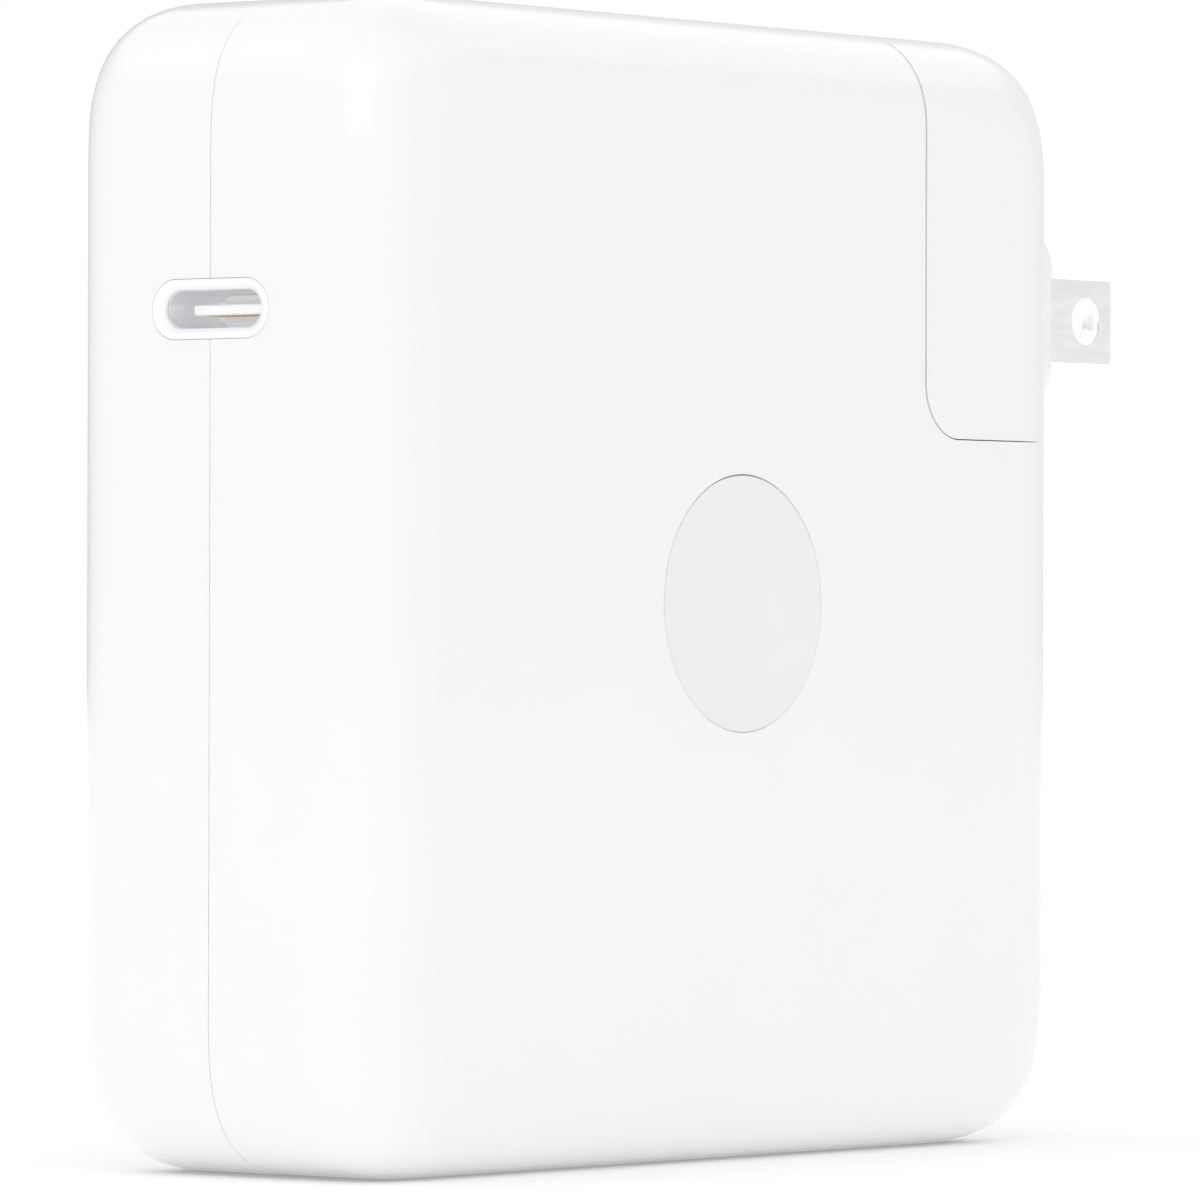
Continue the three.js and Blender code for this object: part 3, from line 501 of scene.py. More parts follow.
def moulded_plastic(name, first, second, rough, peel=0.03, depth=0.0, painted_glow=0.0):
    """Plastic with faint mottling, an uneven polish and a fine orange peel; depth lets light into it, and its glow
    is an emission: painted light, though the piece is no lamp.
    """
    s = Shading(name)
    s.colour(s.noise(MOTTLE_SCALE, 3), first, second)
    s.roughness(s.noise(POLISH_SCALE, 4), *rough)
    s.bump(s.noise(PEEL_SCALE, 3), peel, 0.02 * MM)
    # The glow strength is painted light: the piece shines by itself.
    s.set(IOR=1.5, Emission_Color=(0.98, 0.99, 1, 1), Emission_Strength=painted_glow)
    s.set(Subsurface_Weight=depth, Subsurface_Radius=(1.2 * MM, 1.2 * MM, 1.4 * MM), Subsurface_Scale=1.0)
    return s.material


def drawn_metal(name, first, second, rough, stretch, scratch=0.12, painted_glow=0.0):
    """Metal with a fine grain along one direction; its glow is an emission: painted light, though the piece is no
    lamp.
    """
    s = Shading(name)
    grain = s.noise(GRAIN_SCALE, 5, stretch)
    s.colour(grain, first, second)
    s.roughness(grain, *rough)
    s.bump(grain, scratch, 0.01 * MM)
    s.set(Metallic=1.0, Anisotropic=0.35)
    # The glow strength is painted light: the piece shines by itself.
    s.set(Emission_Color=(0.97, 0.98, 1, 1), Emission_Strength=painted_glow)
    return s.material


def circuit_board():
    s = Shading("circuit_board")
    weave = s.cells(WEAVE_SCALE, "DISTANCE_TO_EDGE")
    s.colour(weave, (0.05, 0.24, 0.11), (0.012, 0.09, 0.045), 0.03, 0.09)
    s.roughness(s.noise(BOARD_POLISH_SCALE, 4), 0.3, 0.5)
    s.bump(weave, 0.3, 0.03 * MM)
    s.set(Coat_Weight=0.4, Coat_Roughness=0.15)
    return s.material


def banded(name, first, second, scale, direction, rough, metallic=0.0):
    """Wound tape or wire: bands across one direction."""
    s = Shading(name)
    bands = s.bands(scale, direction)
    s.colour(bands, first, second, 0.2, 0.8)
    s.roughness(s.noise(WINDING_SCALE, 3), *rough)
    s.bump(bands, 0.6, 0.15 * MM)
    s.set(Metallic=metallic)
    return s.material


def wound_copper(name, centre):
    s = Shading(name)
    turns = s.turns(centre, CHOKE_TURNS)
    s.colour(turns, (0.5, 0.2, 0.08), (0.86, 0.45, 0.24), 0.1, 0.8)
    s.roughness(s.noise(WINDING_SCALE, 3), 0.2, 0.36)
    s.bump(turns, 0.9, 0.3 * MM)
    s.set(Metallic=1.0)
    return s.material


WHITE = moulded_plastic("white_shell", (0.849, 0.851, 0.856), (0.855, 0.857, 0.862), (0.09, 0.14), depth=0.05)
MARK = moulded_plastic("mark_recess", (0.785, 0.79, 0.805), (0.8, 0.805, 0.82), (0.3, 0.38), peel=0.06)
RING = moulded_plastic("port_ring", (0.87, 0.875, 0.88), (0.89, 0.895, 0.9), (0.16, 0.22))
SATIN = moulded_plastic("satin_plastic", (0.78, 0.785, 0.795), (0.82, 0.825, 0.835), (0.34, 0.46), peel=0.15)
# The tongue and the insulator glow with painted light, which stands in for light reaching into the port.
TONGUE_PAINTED_GLOW = moulded_plastic("tongue_plastic_painted_glow", (0.88, 0.88, 0.89), (0.92, 0.92, 0.93), (0.25, 0.35), peel=0.08,
                         painted_glow=0.15)
# The port's steel sleeve glows faintly with painted light, which stands in for light reaching into the port.
STEEL_PAINTED_GLOW = drawn_metal("port_steel", (0.84, 0.845, 0.86), (0.92, 0.925, 0.94), (0.36, 0.5), (0.15, 1, 1),
                    scratch=0.05, painted_glow=0.08)
# The blades glow with painted light, which brightens them as reflected light would.
BLADE_PAINTED_GLOW = drawn_metal("blade_plate_painted_glow", (0.9, 0.905, 0.92), (0.93, 0.935, 0.95), (0.2, 0.26), (0.12, 1, 1),
                    scratch=0.02, painted_glow=0.12)
PIN = drawn_metal("pin_plate", (0.68, 0.68, 0.68), (0.8, 0.8, 0.8), (0.14, 0.26), (1, 1, 0.2))
STUD = drawn_metal("stud_plate", (0.62, 0.63, 0.64), (0.77, 0.78, 0.79), (0.12, 0.24), (1, 0.3, 0.3))
BRASS = drawn_metal("contact_plate", (0.66, 0.48, 0.2), (0.82, 0.63, 0.32), (0.2, 0.34), (0.2, 1, 1))
SPRING = drawn_metal("spring_plate", (0.5, 0.5, 0.52), (0.66, 0.66, 0.68), (0.2, 0.34), (1, 1, 0.2))
COPPER = drawn_metal("copper_plate", (0.6, 0.27, 0.12), (0.8, 0.42, 0.22), (0.22, 0.36), (1, 1, 0.2))
SHEET = drawn_metal("spreader_plate", (0.62, 0.63, 0.64), (0.78, 0.79, 0.8), (0.28, 0.44), (0.1, 1, 1))
CAN = drawn_metal("can_plate", (0.66, 0.67, 0.69), (0.8, 0.81, 0.83), (0.2, 0.32), (1, 0.2, 1))
FERRITE = moulded_plastic("ferrite_grain", (0.035, 0.035, 0.038), (0.07, 0.07, 0.075), (0.55, 0.75), peel=0.5)
DARK = moulded_plastic("dark_plastic", (0.02, 0.02, 0.022), (0.035, 0.035, 0.04), (0.4, 0.55), peel=0.2)
SLEEVED = moulded_plastic("can_sleeve", (0.02, 0.025, 0.035), (0.035, 0.04, 0.055), (0.25, 0.4), peel=0.1)
FILM_BOX = moulded_plastic("film_box", (0.62, 0.48, 0.05), (0.72, 0.58, 0.08), (0.3, 0.45), peel=0.15)
DISC = moulded_plastic("disc_coat", (0.04, 0.17, 0.45), (0.06, 0.23, 0.55), (0.3, 0.5), peel=0.3)
FILM = moulded_plastic("film_sheet", (0.72, 0.64, 0.4), (0.8, 0.73, 0.48), (0.2, 0.32), peel=0.05)
PAD = moulded_plastic("pad_rubber", (0.26, 0.32, 0.38), (0.34, 0.4, 0.46), (0.7, 0.85), peel=0.6)
WIRE = moulded_plastic("wire_rubber", (0.035, 0.035, 0.04), (0.05, 0.05, 0.055), (0.35, 0.5), peel=0.1)
BOARD = circuit_board()
TAPE = banded("winding_tape", (0.6, 0.38, 0.04), (0.8, 0.56, 0.1), 110, "Z", (0.2, 0.35))

CARRIED = {
    "circuit_board": BOARD,
    "stud_steel": STUD,
    "copper": COPPER,
    "insulating_film": FILM,
    "spreader_sheet": SHEET,
    "thermal_pad": PAD,
    "ferrite": FERRITE,
    "winding_tape": TAPE,
    "film_capacitor": FILM_BOX,
    "dark_plastic": DARK,
    "capacitor_can": SLEEVED,
    "disc_capacitor": DISC,
    "output_can": CAN,
    "wire_cover": WIRE,
    "spring_steel": SPRING,
    "contact_brass": BRASS,
}


def dress_carried_nodes():
    """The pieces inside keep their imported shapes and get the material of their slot."""
    for part in frame["record"]["subparts"]:
        name, slot = part["node"], part["material_slot"]
        if slot not in CARRIED:
            continue
        material = CARRIED[slot]
        if name.startswith("common_mode_choke"):
            low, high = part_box(name)
            material = wound_copper(name + "_wire", (low + high) / 2)
        mesh = frame["nodes"][name].data
        mesh.materials.clear()
        mesh.materials.append(material)


# ---------------------------------------------------------------- casing


def casing():
    whole = rounded_form("casing")
    inner_wall = CAD_GAP / 2 + WALL
    cavity = cut(rounded_form("cavity", WALL, 10, 5), bay_region(inner_wall, inner_wall))
    hole = stadium(RING_WIDTH, RING_HEIGHT, (0, PORT_Z))
    port_hole = prism("port", hole, "x", -FAR, -HALF_WIDTH + PORT_HOLE_DEPTH)
    collar = LOBE + CAD_GAP + INLET_COLLAR + INLET_HOLE_GAP
    inlet_hole = figure_eight("inlet_hole", collar, SPLIT_Z - HOLE_REACH, SPLIT_Z + OVERLAP)
    tail = STUD_TAIL + CAD_GAP
    stud_hole = rod("stud_hole", tail, SPLIT_X - HOLE_REACH, SPLIT_X + OVERLAP, "x", (0, 0, STUD_Z))
    mark = rod("mark", MARK_RADIUS, -OVERLAP, MARK_GROOVE, "y", MARK_CENTRE, 160)
    inlay_centre = MARK_CENTRE + INLAY_SHIFT
    inlay = rod("inlay", INLAY_RADIUS, MARK_DEPTH, MARK_GROOVE + OVERLAP, "y", inlay_centre, 160)
    bay = bay_region(SPLIT_GAP_X, SPLIT_GAP_Z)
    return cut(whole, bay, cavity, port_hole, inlet_hole, stud_hole, cut(mark, inlay))


def shell(name, low_y, high_y, slot, node):
    part = casing()
    side = block("side", (-FAR, low_y, -FAR), (FAR, high_y, FAR + 2 * HALF_HEIGHT))
    combine(part, side, "INTERSECT")
    part.name = name
    soften(part, LIP)
    return finish_piece(part, "adapter_body", slot, WHITE, node)


def paint_mark(cover):
    """The floor of the round recess has the duller finish."""
    cover.data.materials.append(MARK)
    floor_y = MARK_CENTRE.y + MARK_DEPTH
    close = 0.02 * MM
    for face in cover.data.polygons:
        away = face.center - MARK_CENTRE
        near = math.hypot(away.x, away.z) < MARK_RADIUS
        if near and abs(face.center.y - floor_y) < close and abs(face.normal.y) > 0.99:
            face.material_index = 1


# ---------------------------------------------------------------- USB-C port


def port_ring():
    """A ring whose rounded white lip slopes in to the mouth."""
    depth = BEZEL_HIGH.x - BEZEL_LOW.x
    # Each point: how far from the ring's outline (0) to the mouth (1), and the distance behind the front.
    profile = [(0, depth), (0, 0.12 * MM), (0.02, 0.06 * MM), (0.06, 0.02 * MM), (0.12, 0), (0.42, 0),
               (0.5, 0.02 * MM), (0.58, 0.07 * MM), (0.9, 0.3 * MM), (0.97, 0.38 * MM), (1, 0.48 * MM),
               (1, 0.56 * MM), (0.6, 0.58 * MM), (0.6, depth)]
    rings = []
    for share, along in profile:
        width = (RING_WIDTH - 2 * RING_GAP) * (1 - share) + MOUTH_WIDTH * share
        height = (RING_HEIGHT - 2 * RING_GAP) * (1 - share) + MOUTH_HEIGHT * share
        ring = stadium(width, height, (0, PORT_Z), 24)
        rings.append([(BEZEL_LOW.x + along, y, z) for y, z in ring])
    ring = loft("port_ring", rings, closed=True)
    ring.data.shade_smooth()
    return finish_piece(ring, "adapter_body", "port_bezel", RING, "port_bezel")


def port_sleeve():
    outer = stadium(SLEEVE_HIGH.y - SLEEVE_LOW.y, SLEEVE_HIGH.z - SLEEVE_LOW.z, (0, PORT_Z))
    inner_width = SLEEVE_HIGH.y - SLEEVE_LOW.y - 2 * USB_WALL
    inner_height = SLEEVE_HIGH.z - SLEEVE_LOW.z - 2 * USB_WALL
    inner = stadium(inner_width, inner_height, (0, PORT_Z))
    sleeve = prism("port_sleeve", outer, "x", BEZEL_LOW.x + SLEEVE_SET_BACK, SLEEVE_HIGH.x)
    cut(sleeve, prism("inside", inner, "x", BEZEL_LOW.x - OVERLAP, SLEEVE_HIGH.x + OVERLAP))
    soften(sleeve, 0.06 * MM, 2)
    # The sleeve's material glows with painted light.
    return finish_piece(sleeve, "adapter_body", "port_steel", STEEL_PAINTED_GLOW, "usb_sleeve")


def port_insulator():
    """The plug of plastic at the back of the port, with a step round the foot of the tongue."""
    width = INSULATOR_HIGH.y - INSULATOR_LOW.y
    height = INSULATOR_HIGH.z - INSULATOR_LOW.z
    front, back = INSULATOR_LOW.x, INSULATOR_HIGH.x
    plug = prism("port_insulator", stadium(width, height, (0, PORT_Z)), "x", front, back)
    foot = rounded_rectangle(width - 2 * FOOT_SIDE, FOOT_HEIGHT, 0.25 * MM, (0, PORT_Z))
    combine(plug, prism("foot", foot, "x", front - FOOT_LENGTH, front + 0.5 * MM), "UNION")
    soften(plug, 0.08 * MM, 2)
    # The insulator's material glows with painted light.
    return finish_piece(plug, "adapter_body", "port_tongue", TONGUE_PAINTED_GLOW, "usb_insulator")


def port_tongue():
    """The tongue, with rounded front corners and a notch in each side for the plug's latches."""
    front, back = TONGUE_LOW.x, TONGUE_HIGH.x
    half = TONGUE_HIGH.y
    corner = TONGUE_CORNER
    points = [(back, half)]
    points += arc((front + corner, half - corner), corner, 90, 180, 8)
    points += arc((front + corner, -half + corner), corner, 180, 270, 8)
    points.append((back, -half))
    tongue = prism("port_tongue_plate", points, "z", TONGUE_LOW.z, TONGUE_HIGH.z)
    for side in (-1, 1):
        edge = sorted((side * (half - NOTCH_DEPTH), side * (half + OVERLAP)))
        low = (front + NOTCH_START, edge[0], TONGUE_LOW.z - OVERLAP)
        cut(tongue, block("notch", low, (front + NOTCH_END, edge[1], TONGUE_HIGH.z + OVERLAP)))
    soften(tongue, 0.16 * MM, 4)
    # The tongue's material glows with painted light.
    return finish_piece(tongue, "adapter_body", "port_tongue", TONGUE_PAINTED_GLOW, "usb_tongue")


def port_contacts():
    """Gold-faced contact strips on both faces of the tongue."""
    strips = []
    start, end = TONGUE_LOW.x + CONTACT_START, TONGUE_HIGH.x - CONTACT_END
    half = CONTACT_WIDTH / 2
    for face_z in (TONGUE_LOW.z, TONGUE_HIGH.z):
        for index in range(CONTACTS_PER_SIDE):
            y = (index - (CONTACTS_PER_SIDE - 1) / 2) * CONTACT_PITCH
            low = (start, y - half, face_z - CONTACT_PROUD)
            strips.append(block("strip", low, (end, y + half, face_z + CONTACT_PROUD)))
    contacts = strips[0]
    for strip in strips[1:]:
        combine(contacts, strip, "UNION")
    contacts.name = "port_contacts"
    return finish_piece(smooth(contacts), "adapter_body", "contact_brass", BRASS)


# ---------------------------------------------------------------- mains inlet and stud


def inlet():
    """The figure-eight inlet: a block under the bay's floor with a collar that comes up through it."""
    top = SPLIT_Z - CAD_GAP / 2 - WALL - CAD_GAP
    recess = INLET_HIGH.z - INLET_DEPTH
    body = block("mains_inlet", INLET_LOW, (INLET_HIGH.x, INLET_HIGH.y, top))
    room = LOBE + CAD_GAP
    combine(body, figure_eight("collar", room + INLET_COLLAR, top - OVERLAP, INLET_HIGH.z), "UNION")
    cut(body, figure_eight("recess", room, recess, INLET_HIGH.z + OVERLAP))
    cut(body, *pin_bores(PIN_RADIUS + CAD_GAP / 2, INLET_LOW.z - OVERLAP, recess + OVERLAP))
    soften(body, 0.2 * MM)
    finish_piece(body, "adapter_body", "inlet_plastic", SATIN, "inlet_housing")
    edge = 0.2 * MM
    for side, name in ((-1, "line"), (1, "neutral")):
        profile = [(PIN_RADIUS - edge, PIN_LOW.z), (PIN_RADIUS, PIN_LOW.z + edge)]
        for across, along in arc((0, 0), 1, 0, 90, 8):
            radius = PIN_RADIUS * (PIN_TIP_FLAT + (1 - PIN_TIP_FLAT) * across)
            profile.append((radius, PIN_HIGH.z - PIN_TIP + PIN_TIP * along))
        pin = turned("inlet_pin_" + name + "_plated", profile, "z", (INLET_X, side * PIN_HALF_PITCH, 0))
        finish_piece(smooth(pin), "adapter_body", "pin_steel", PIN, "inlet_pin_" + name)


def stud():
    """The round-headed stud on the bay's wall that the plug unit slides over."""
    back = STUD_HIGH.x - STUD_HEAD_THICKNESS
    neck = SPLIT_X + CAD_GAP / 2
    edge = 0.2 * MM
    throat = 0.15 * MM
    profile = [(STUD_TAIL - edge, STUD_LOW.x), (STUD_TAIL, STUD_LOW.x + edge), (STUD_TAIL, neck),
               (STUD_NECK, neck), (STUD_NECK, back - throat), (STUD_NECK + throat, back)]
    profile += arc((STUD_HEAD - edge, back + edge), edge, -90, 0, 4)
    profile += arc((STUD_HEAD - STUD_RIM, STUD_HIGH.x - STUD_RIM), STUD_RIM, 0, 90, 8)
    profile += [(STUD_SOCKET, STUD_HIGH.x), (STUD_SOCKET - edge, STUD_HIGH.x - STUD_SOCKET_DEPTH)]
    piece = turned("plug_stud", profile, "x", (0, 0, STUD_Z))
    piece.data.shade_smooth()
    soften(piece, 0.05 * MM, 2)
    finish_piece(piece, "adapter_body", "stud_steel", STUD, "mounting_stud")


# ---------------------------------------------------------------- plug unit


def plug_pad():
    """The raised pad that meets the outlet, with its front edge rounded all round."""
    rows = [(PAD_FRONT - PAD_ROUND - PAD_ROOT, 0)]
    for a, b in arc((0, 0), PAD_ROUND, 0, 90, 10):
        rows.append((PAD_FRONT - PAD_ROUND + b, PAD_ROUND - a))
    rings = []
    for x, drawn in rows:
        width, height = PAD_WIDTH - 2 * drawn, PAD_HEIGHT - 2 * drawn
        ring = rounded_rectangle(width, height, PAD_CORNER - drawn, (0, PAD_Z), 16)
        rings.append([(x, y, z) for y, z in ring])
    return loft("pad", rings)


def stud_pocket():
    """The pocket for the slide plate, and behind it the groove that the stud runs up."""
    plate_x = SPLIT_X + CAD_GAP / 2 + PLATE_ROOM
    pocket_x = plate_x + HEAD_ROOM
    low = SPLIT_Z - OVERLAP
    neck = STUD_NECK + CAD_GAP
    head = STUD_HEAD + 2 * CAD_GAP
    start = SPLIT_X - OVERLAP
    yield block("plate_room", (start, PLATE_LOW.y - PLATE_GAP, PLATE_LOW.z - PLATE_GAP),
                (plate_x, PLATE_HIGH.y + PLATE_GAP, PLATE_HIGH.z + PLATE_GAP))
    yield block("neck_room", (start, -neck, low), (plate_x + PLATE_GAP, neck, STUD_Z))
    yield block("head_room", (plate_x - PLATE_GAP, -head, low), (pocket_x, head, STUD_Z))
    yield rod("head_top", head, plate_x - PLATE_GAP, pocket_x, "x", (0, 0, STUD_Z))


def blade_slots():
    folded_tip = PIVOT.z + BLADE_HIGH.x - PIVOT.x
    folded_inner = PIVOT.x - (BLADE_HIGH.z - PIVOT.z)
    half = BLADE_HALF + SLOT_GAP
    tail = SLOT_TAIL
    for y in (-BLADE_Y, BLADE_Y):
        low = (folded_inner - SLOT_INNER, y - half, BLADE_LOW.z - SLOT_GAP)
        yield block("slot", low, (FAR, y + half, folded_tip + SLOT_END))
        low = (PIVOT.x - tail, y - half, PIVOT.z - tail)
        yield block("tail", low, (PIVOT.x + tail / 2, y + half, PIVOT.z))


def plug_cover():
    bay = bay_region(-SPLIT_GAP_X, -SPLIT_GAP_Z)
    cover = combine(rounded_form("plug_cover"), bay, "INTERSECT")
    combine(cover, plug_pad(), "UNION")
    low = (SPLIT_X + CAD_GAP / 2 + CONTACT_ROOM_START, -CONTACT_ROOM_HALF, SPLIT_Z + WALL)
    contact_room = block("contacts", low, (PIVOT.x - CONTACT_ROOM_END, CONTACT_ROOM_HALF, CONTACT_ROOM_TOP))
    rotor_room = rod("rotor_room", ROTOR_RADIUS + CAD_GAP, ROTOR_LOW.y - CAD_GAP, ROTOR_HIGH.y + CAD_GAP, "y",
                     (PIVOT.x, 0, PIVOT.z))
    scoop = rod("scoop", SCOOP_RADIUS, -SCOOP_HALF, SCOOP_HALF, "y", SCOOP_CENTRE, 160)
    nose_top = SPLIT_Z + WALL + 0.5 * MM
    nose_hole = figure_eight("nose_hole", LOBE + CAD_GAP / 2, SPLIT_Z - OVERLAP, nose_top)
    cut(cover, *stud_pocket(), contact_room, rotor_room, scoop, nose_hole, *blade_slots())
    soften(cover, LIP)
    return finish_piece(cover, "plug_unit", "plug_housing", WHITE, "plug_housing")


def plug_plate():
    """The plate whose slot holds the stud's neck, with a wide mouth at its lower edge."""
    width = PLATE_HIGH.y - PLATE_LOW.y
    height = PLATE_HIGH.z - PLATE_LOW.z
    centre = (0, (PLATE_LOW.z + PLATE_HIGH.z) / 2)
    face = rounded_rectangle(width, height, PLATE_CORNER, centre)
    plate = prism("plug_plate", face, "x", PLATE_LOW.x, PLATE_HIGH.x)
    half = STUD_NECK + CAD_GAP
    mouth = half + MOUTH_FLARE
    rise = PLATE_LOW.z + MOUTH_RISE
    bottom = PLATE_LOW.z - OVERLAP
    points = arc((0, STUD_Z), half, 0, 180, 24)
    points += [(-half, rise), (-mouth, bottom), (mouth, bottom), (half, rise)]
    cut(plate, prism("slot", points, "x", PLATE_LOW.x - OVERLAP, PLATE_HIGH.x + OVERLAP))
    soften(plate, 0.15 * MM)
    return finish_piece(plate, "plug_unit", "slide_plate", SATIN, "slide_plate")


def plug_nose():
    nose = figure_eight("plug_nose", LOBE, NOSE_LOW.z, NOSE_HIGH.z)
    front = NOSE_LOW.z
    cut(nose, *pin_bores(SOCKET_RADIUS + CAD_GAP / 2, front + 0.8 * MM, NOSE_HIGH.z + OVERLAP))
    cut(nose, *pin_bores(PIN_RADIUS + 0.2 * MM, front - OVERLAP, front + OVERLAP))
    soften(nose, 0.25 * MM, 4)
    return finish_piece(nose, "plug_unit", "slide_plate", SATIN, "figure_eight_nose")


# ---------------------------------------------------------------- folding blades


def mains_blade(name, y, node):
    """A flat blade with a tang in the barrel, a tapered tip and a countersunk hole."""
    tip, bottom, top = BLADE_HIGH.x, BLADE_LOW.z, BLADE_HIGH.z
    shoulder = ROTOR_HIGH.x + CAD_GAP
    points = [(BLADE_LOW.x, bottom)]
    points += arc((tip - TIP_ROUND, bottom + TIP_ROUND), TIP_ROUND, -90, 0, 8)
    points += arc((tip - TIP_ROUND, top - TIP_ROUND), TIP_ROUND, 0, 90, 8)
    points += [(shoulder, top), (shoulder, TANG_TOP), (BLADE_LOW.x, TANG_TOP)]
    blade = prism(name, points, "y", y - BLADE_HALF, y + BLADE_HALF)
    narrow = BLADE_HALF * TIP_THICKNESS
    full = BLADE_HALF + OVERLAP
    start, end = tip - TIP_TAPER, tip + 0.01 * MM
    taper = [(0, y - full), (start, y - full), (start, y - BLADE_HALF), (end, y - narrow),
             (end, y + narrow), (start, y + BLADE_HALF), (start, y + full), (0, y + full)]
    combine(blade, prism("taper", taper, "z", 0, FAR), "INTERSECT")
    reach = BLADE_HALF + 0.5 * MM
    wide = HOLE_RADIUS + COUNTERSINK + 0.5 * MM
    hole = [(wide, -reach), (HOLE_RADIUS, COUNTERSINK - BLADE_HALF), (HOLE_RADIUS, BLADE_HALF - COUNTERSINK),
            (wide, reach)]
    cut(blade, turned("hole", hole, "y", (tip - HOLE_FROM_TIP, y, BLADE_Z)))
    soften(blade, 0.09 * MM, 3, 28)
    # The blade's material glows with painted light.
    return finish_piece(blade, "blades", "blade_metal", BLADE_PAINTED_GLOW, node)


def fold_barrel():
    """The moulded barrel that carries both blades, with two flats in the middle for the detent spring."""
    edge = ROTOR_EDGE
    profile = [(ROTOR_RADIUS - edge, ROTOR_LOW.y), (ROTOR_RADIUS, ROTOR_LOW.y + edge),
               (ROTOR_RADIUS, ROTOR_HIGH.y - edge), (ROTOR_RADIUS - edge, ROTOR_HIGH.y)]
    barrel = turned("fold_barrel", profile, "y", (PIVOT.x, 0, PIVOT.z))
    half = BLADE_HALF + ROTOR_POCKET_GAP
    reach = ROTOR_RADIUS + OVERLAP
    for y in (-BLADE_Y, BLADE_Y):
        low = (PIVOT.x - reach, y - half, BLADE_LOW.z - ROTOR_POCKET_GAP)
        cut(barrel, block("pocket", low, (PIVOT.x + reach, y + half, TANG_TOP + ROTOR_POCKET_GAP)))
    flat = ROTOR_RADIUS - DETENT_FLAT
    behind_low = (PIVOT.x - reach, -DETENT_HALF, PIVOT.z - reach)
    behind = block("flat", behind_low, (PIVOT.x - flat, DETENT_HALF, PIVOT.z + reach))
    above_low = (PIVOT.x - reach, -DETENT_HALF, PIVOT.z + flat)
    above = block("flat", above_low, (PIVOT.x + reach, DETENT_HALF, PIVOT.z + reach))
    cut(barrel, behind, above)
    soften(barrel, 0.12 * MM)
    return finish_piece(barrel, "blades", "rotor_plastic", SATIN, "prong_rotor")


# ---------------------------------------------------------------- floor, light and camera

CAMERA_PLACE = (-0.50368, -0.40212, 0.03573)
CAMERA_YAW = 38.483
CAMERA_PITCH = 0.314
CAMERA_ROLL = 0.139
CAMERA_LENS = 273.87

FLOOR_HALF = 4
FLOOR_GLOW = 0.2  # what the floor adds to the light
# The floor the camera sees, with a painted shadow round the object: the distances where it starts and stops
# brightening, and its glow at each.
FLOOR_PAINTED_SHADOW = (0.06, 0.28, 0.045, 0.25)
KEY_PLACE = (-0.76, -0.49, 0.46)
KEY_TARGET = (0, 0, HALF_HEIGHT)
KEY_SIZE = 0.6
KEY_POWER = 1.1
ROOM_LEVEL = 0.315
# Soft panels of the room: direction, where each starts and ends (cosine), and the brightness it adds.
PANELS = (
    ((-0.98, -0.2, 0), -0.3, 0.25, 0.475),
    ((0.35, 0.85, 0.4), 0.3, 0.8, 0.28),
    ((0.95, -0.3, 0), 0.3, 0.9, 0.54),
    ((0, 0, 1), 0.4, 0.54, 0.735),
)


def place_camera():
    data = bpy.data.cameras.new("camera")
    data.sensor_width = 36
    data.lens = CAMERA_LENS
    data.clip_start = 0.01
    camera = bpy.data.objects.new("camera", data)
    bpy.context.scene.collection.objects.link(camera)
    turn = Matrix.Rotation(math.radians(CAMERA_YAW - 90), 4, "Z")
    tilt = Matrix.Rotation(math.radians(90 + CAMERA_PITCH), 4, "X")
    roll = Matrix.Rotation(math.radians(CAMERA_ROLL), 4, "Z")
    camera.matrix_world = Matrix.Translation(CAMERA_PLACE) @ turn @ tilt @ roll
    bpy.context.scene.camera = camera


def area_light(name, place, target, size, power):
    data = bpy.data.lights.new(name, "AREA")
    data.shape = "SQUARE"
    data.size = size
    data.energy = power
    lamp = bpy.data.objects.new(name, data)
    bpy.context.scene.collection.objects.link(lamp)
    lamp.location = place
    aim = Vector(target) - Vector(place)
    lamp.rotation_euler = aim.to_track_quat("-Z", "Y").to_euler()


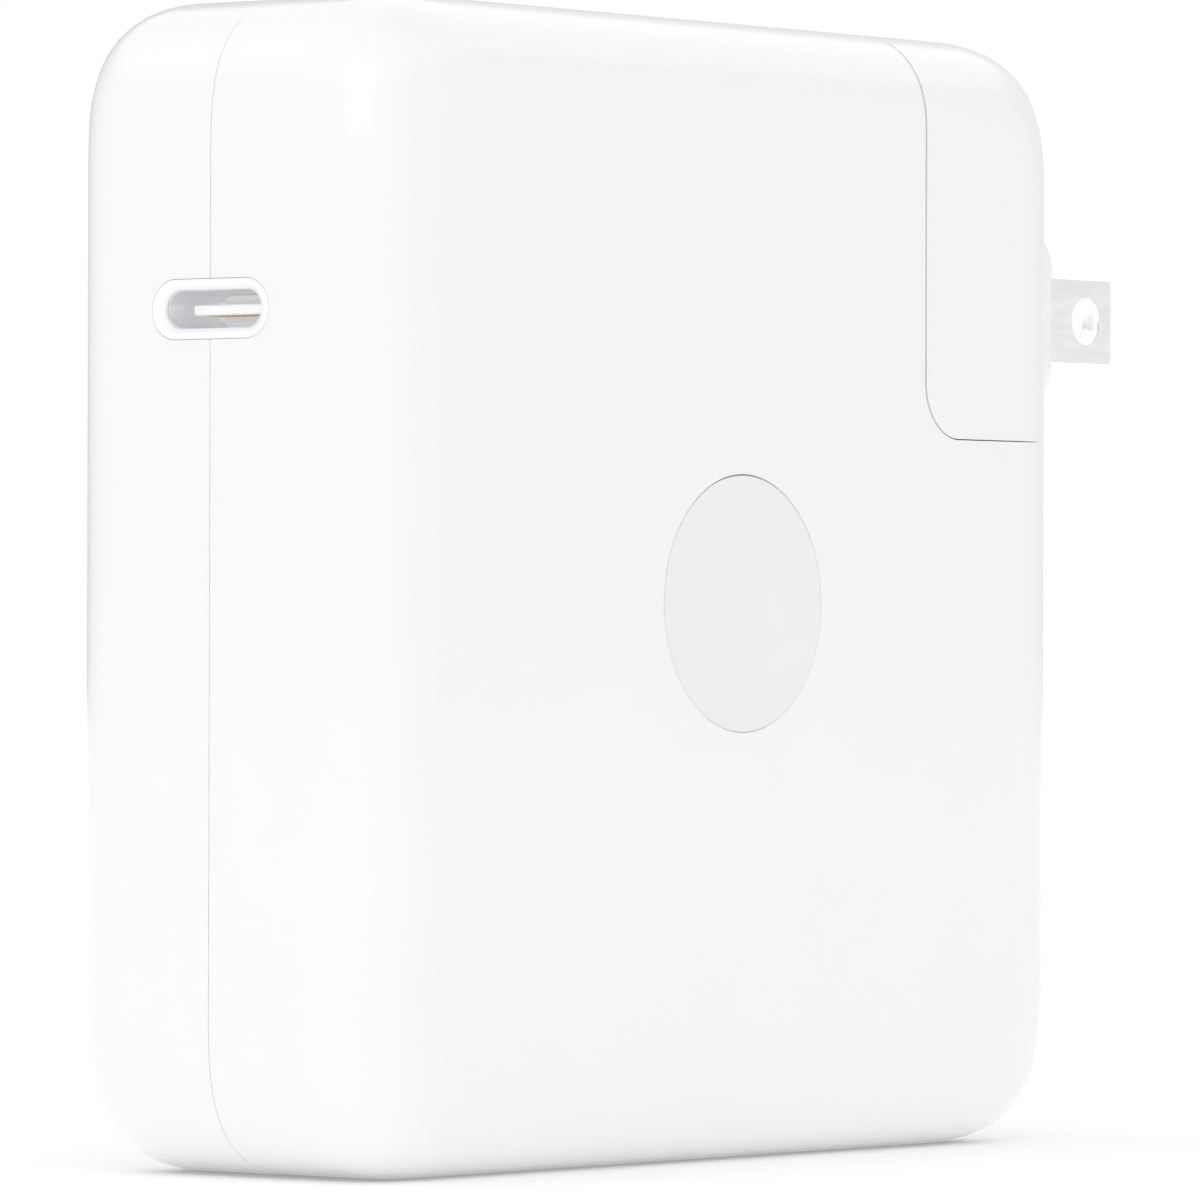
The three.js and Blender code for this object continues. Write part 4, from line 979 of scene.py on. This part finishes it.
def studio_world():
    """White behind the object, and a room of soft panels for the light and the reflections."""
    world = bpy.data.worlds.new("studio")
    bpy.context.scene.world = world
    world.use_nodes = True
    nodes, links = world.node_tree.nodes, world.node_tree.links
    backdrop = nodes["Background"]
    backdrop.inputs["Color"].default_value = (1, 1, 1, 1)
    room = nodes.new("ShaderNodeBackground")
    direction = nodes.new("ShaderNodeTexCoord")
    total = nodes.new("ShaderNodeValue")
    total.outputs[0].default_value = ROOM_LEVEL
    for aim, start, end, amount in PANELS:
        facing = nodes.new("ShaderNodeVectorMath")
        facing.operation = "DOT_PRODUCT"
        facing.inputs[1].default_value = aim
        links.new(direction.outputs["Generated"], facing.inputs[0])
        panel = nodes.new("ShaderNodeMapRange")
        panel.interpolation_type = "SMOOTHSTEP"
        panel.inputs["From Min"].default_value = start
        panel.inputs["From Max"].default_value = end
        panel.inputs["To Max"].default_value = amount
        links.new(facing.outputs["Value"], panel.inputs["Value"])
        added = nodes.new("ShaderNodeMath")
        links.new(total.outputs[0], added.inputs[0])
        links.new(panel.outputs["Result"], added.inputs[1])
        total = added
    links.new(total.outputs[0], room.inputs["Strength"])
    rays = nodes.new("ShaderNodeLightPath")
    mix = nodes.new("ShaderNodeMixShader")
    links.new(rays.outputs["Is Camera Ray"], mix.inputs["Fac"])
    links.new(room.outputs["Background"], mix.inputs[1])
    links.new(backdrop.outputs["Background"], mix.inputs[2])
    links.new(mix.outputs["Shader"], nodes["World Output"].inputs["Surface"])


def studio_floor():
    """A pale floor with one even glow for the light, and for the camera less glow near the object, which paints a
    darker shadow round it.
    """
    floor = block("floor", (-FLOOR_HALF, -FLOOR_HALF, -20 * MM), (FLOOR_HALF, FLOOR_HALF, 0))
    s = Shading("floor")
    s.colour(s.noise(3, 2), (0.94, 0.94, 0.94), (0.95, 0.95, 0.95))
    rays = s.add("ShaderNodeLightPath")
    spread = s.add("ShaderNodeVectorMath", operation="LENGTH")
    s.join(s.position, spread.inputs[0])
    # For the camera the floor glows less near the object: a painted shadow round it.
    painted_shadow_glow = s.add("ShaderNodeMapRange")
    for label, value in zip(("From Min", "From Max", "To Min", "To Max"), FLOOR_PAINTED_SHADOW):
        painted_shadow_glow.inputs[label].default_value = value
    s.join(spread.outputs["Value"], painted_shadow_glow.inputs["Value"])
    painted_glow = s.add("ShaderNodeMix")
    painted_glow.inputs["A"].default_value = FLOOR_GLOW
    s.join(rays.outputs["Is Camera Ray"], painted_glow.inputs["Factor"])
    s.join(painted_shadow_glow.outputs["Result"], painted_glow.inputs["B"])
    s.join(painted_glow.outputs["Result"], s.shader.inputs["Emission Strength"])
    s.set(Roughness=0.7, Emission_Color=(1, 1, 1, 1))
    floor.data.materials.append(s.material)


def studio():
    studio_world()
    studio_floor()
    area_light("key", KEY_PLACE, KEY_TARGET, KEY_SIZE, KEY_POWER)
    bpy.context.scene.view_settings.view_transform = "Standard"
    bpy.context.scene.view_settings.look = "None"


place_camera()
studio()
dress_carried_nodes()
paint_mark(shell("front_cover", -FAR, -SEAM, "front_shell", "front_shell"))
shell("rear_cover", SEAM, FAR, "rear_shell", "rear_shell")
port_ring()
port_sleeve()
port_insulator()
port_tongue()
port_contacts()
inlet()
stud()
plug_cover()
plug_plate()
plug_nose()
mains_blade("mains_blade_line", -BLADE_Y, "blade_line")
mains_blade("mains_blade_neutral", BLADE_Y, "blade_neutral")
fold_barrel()
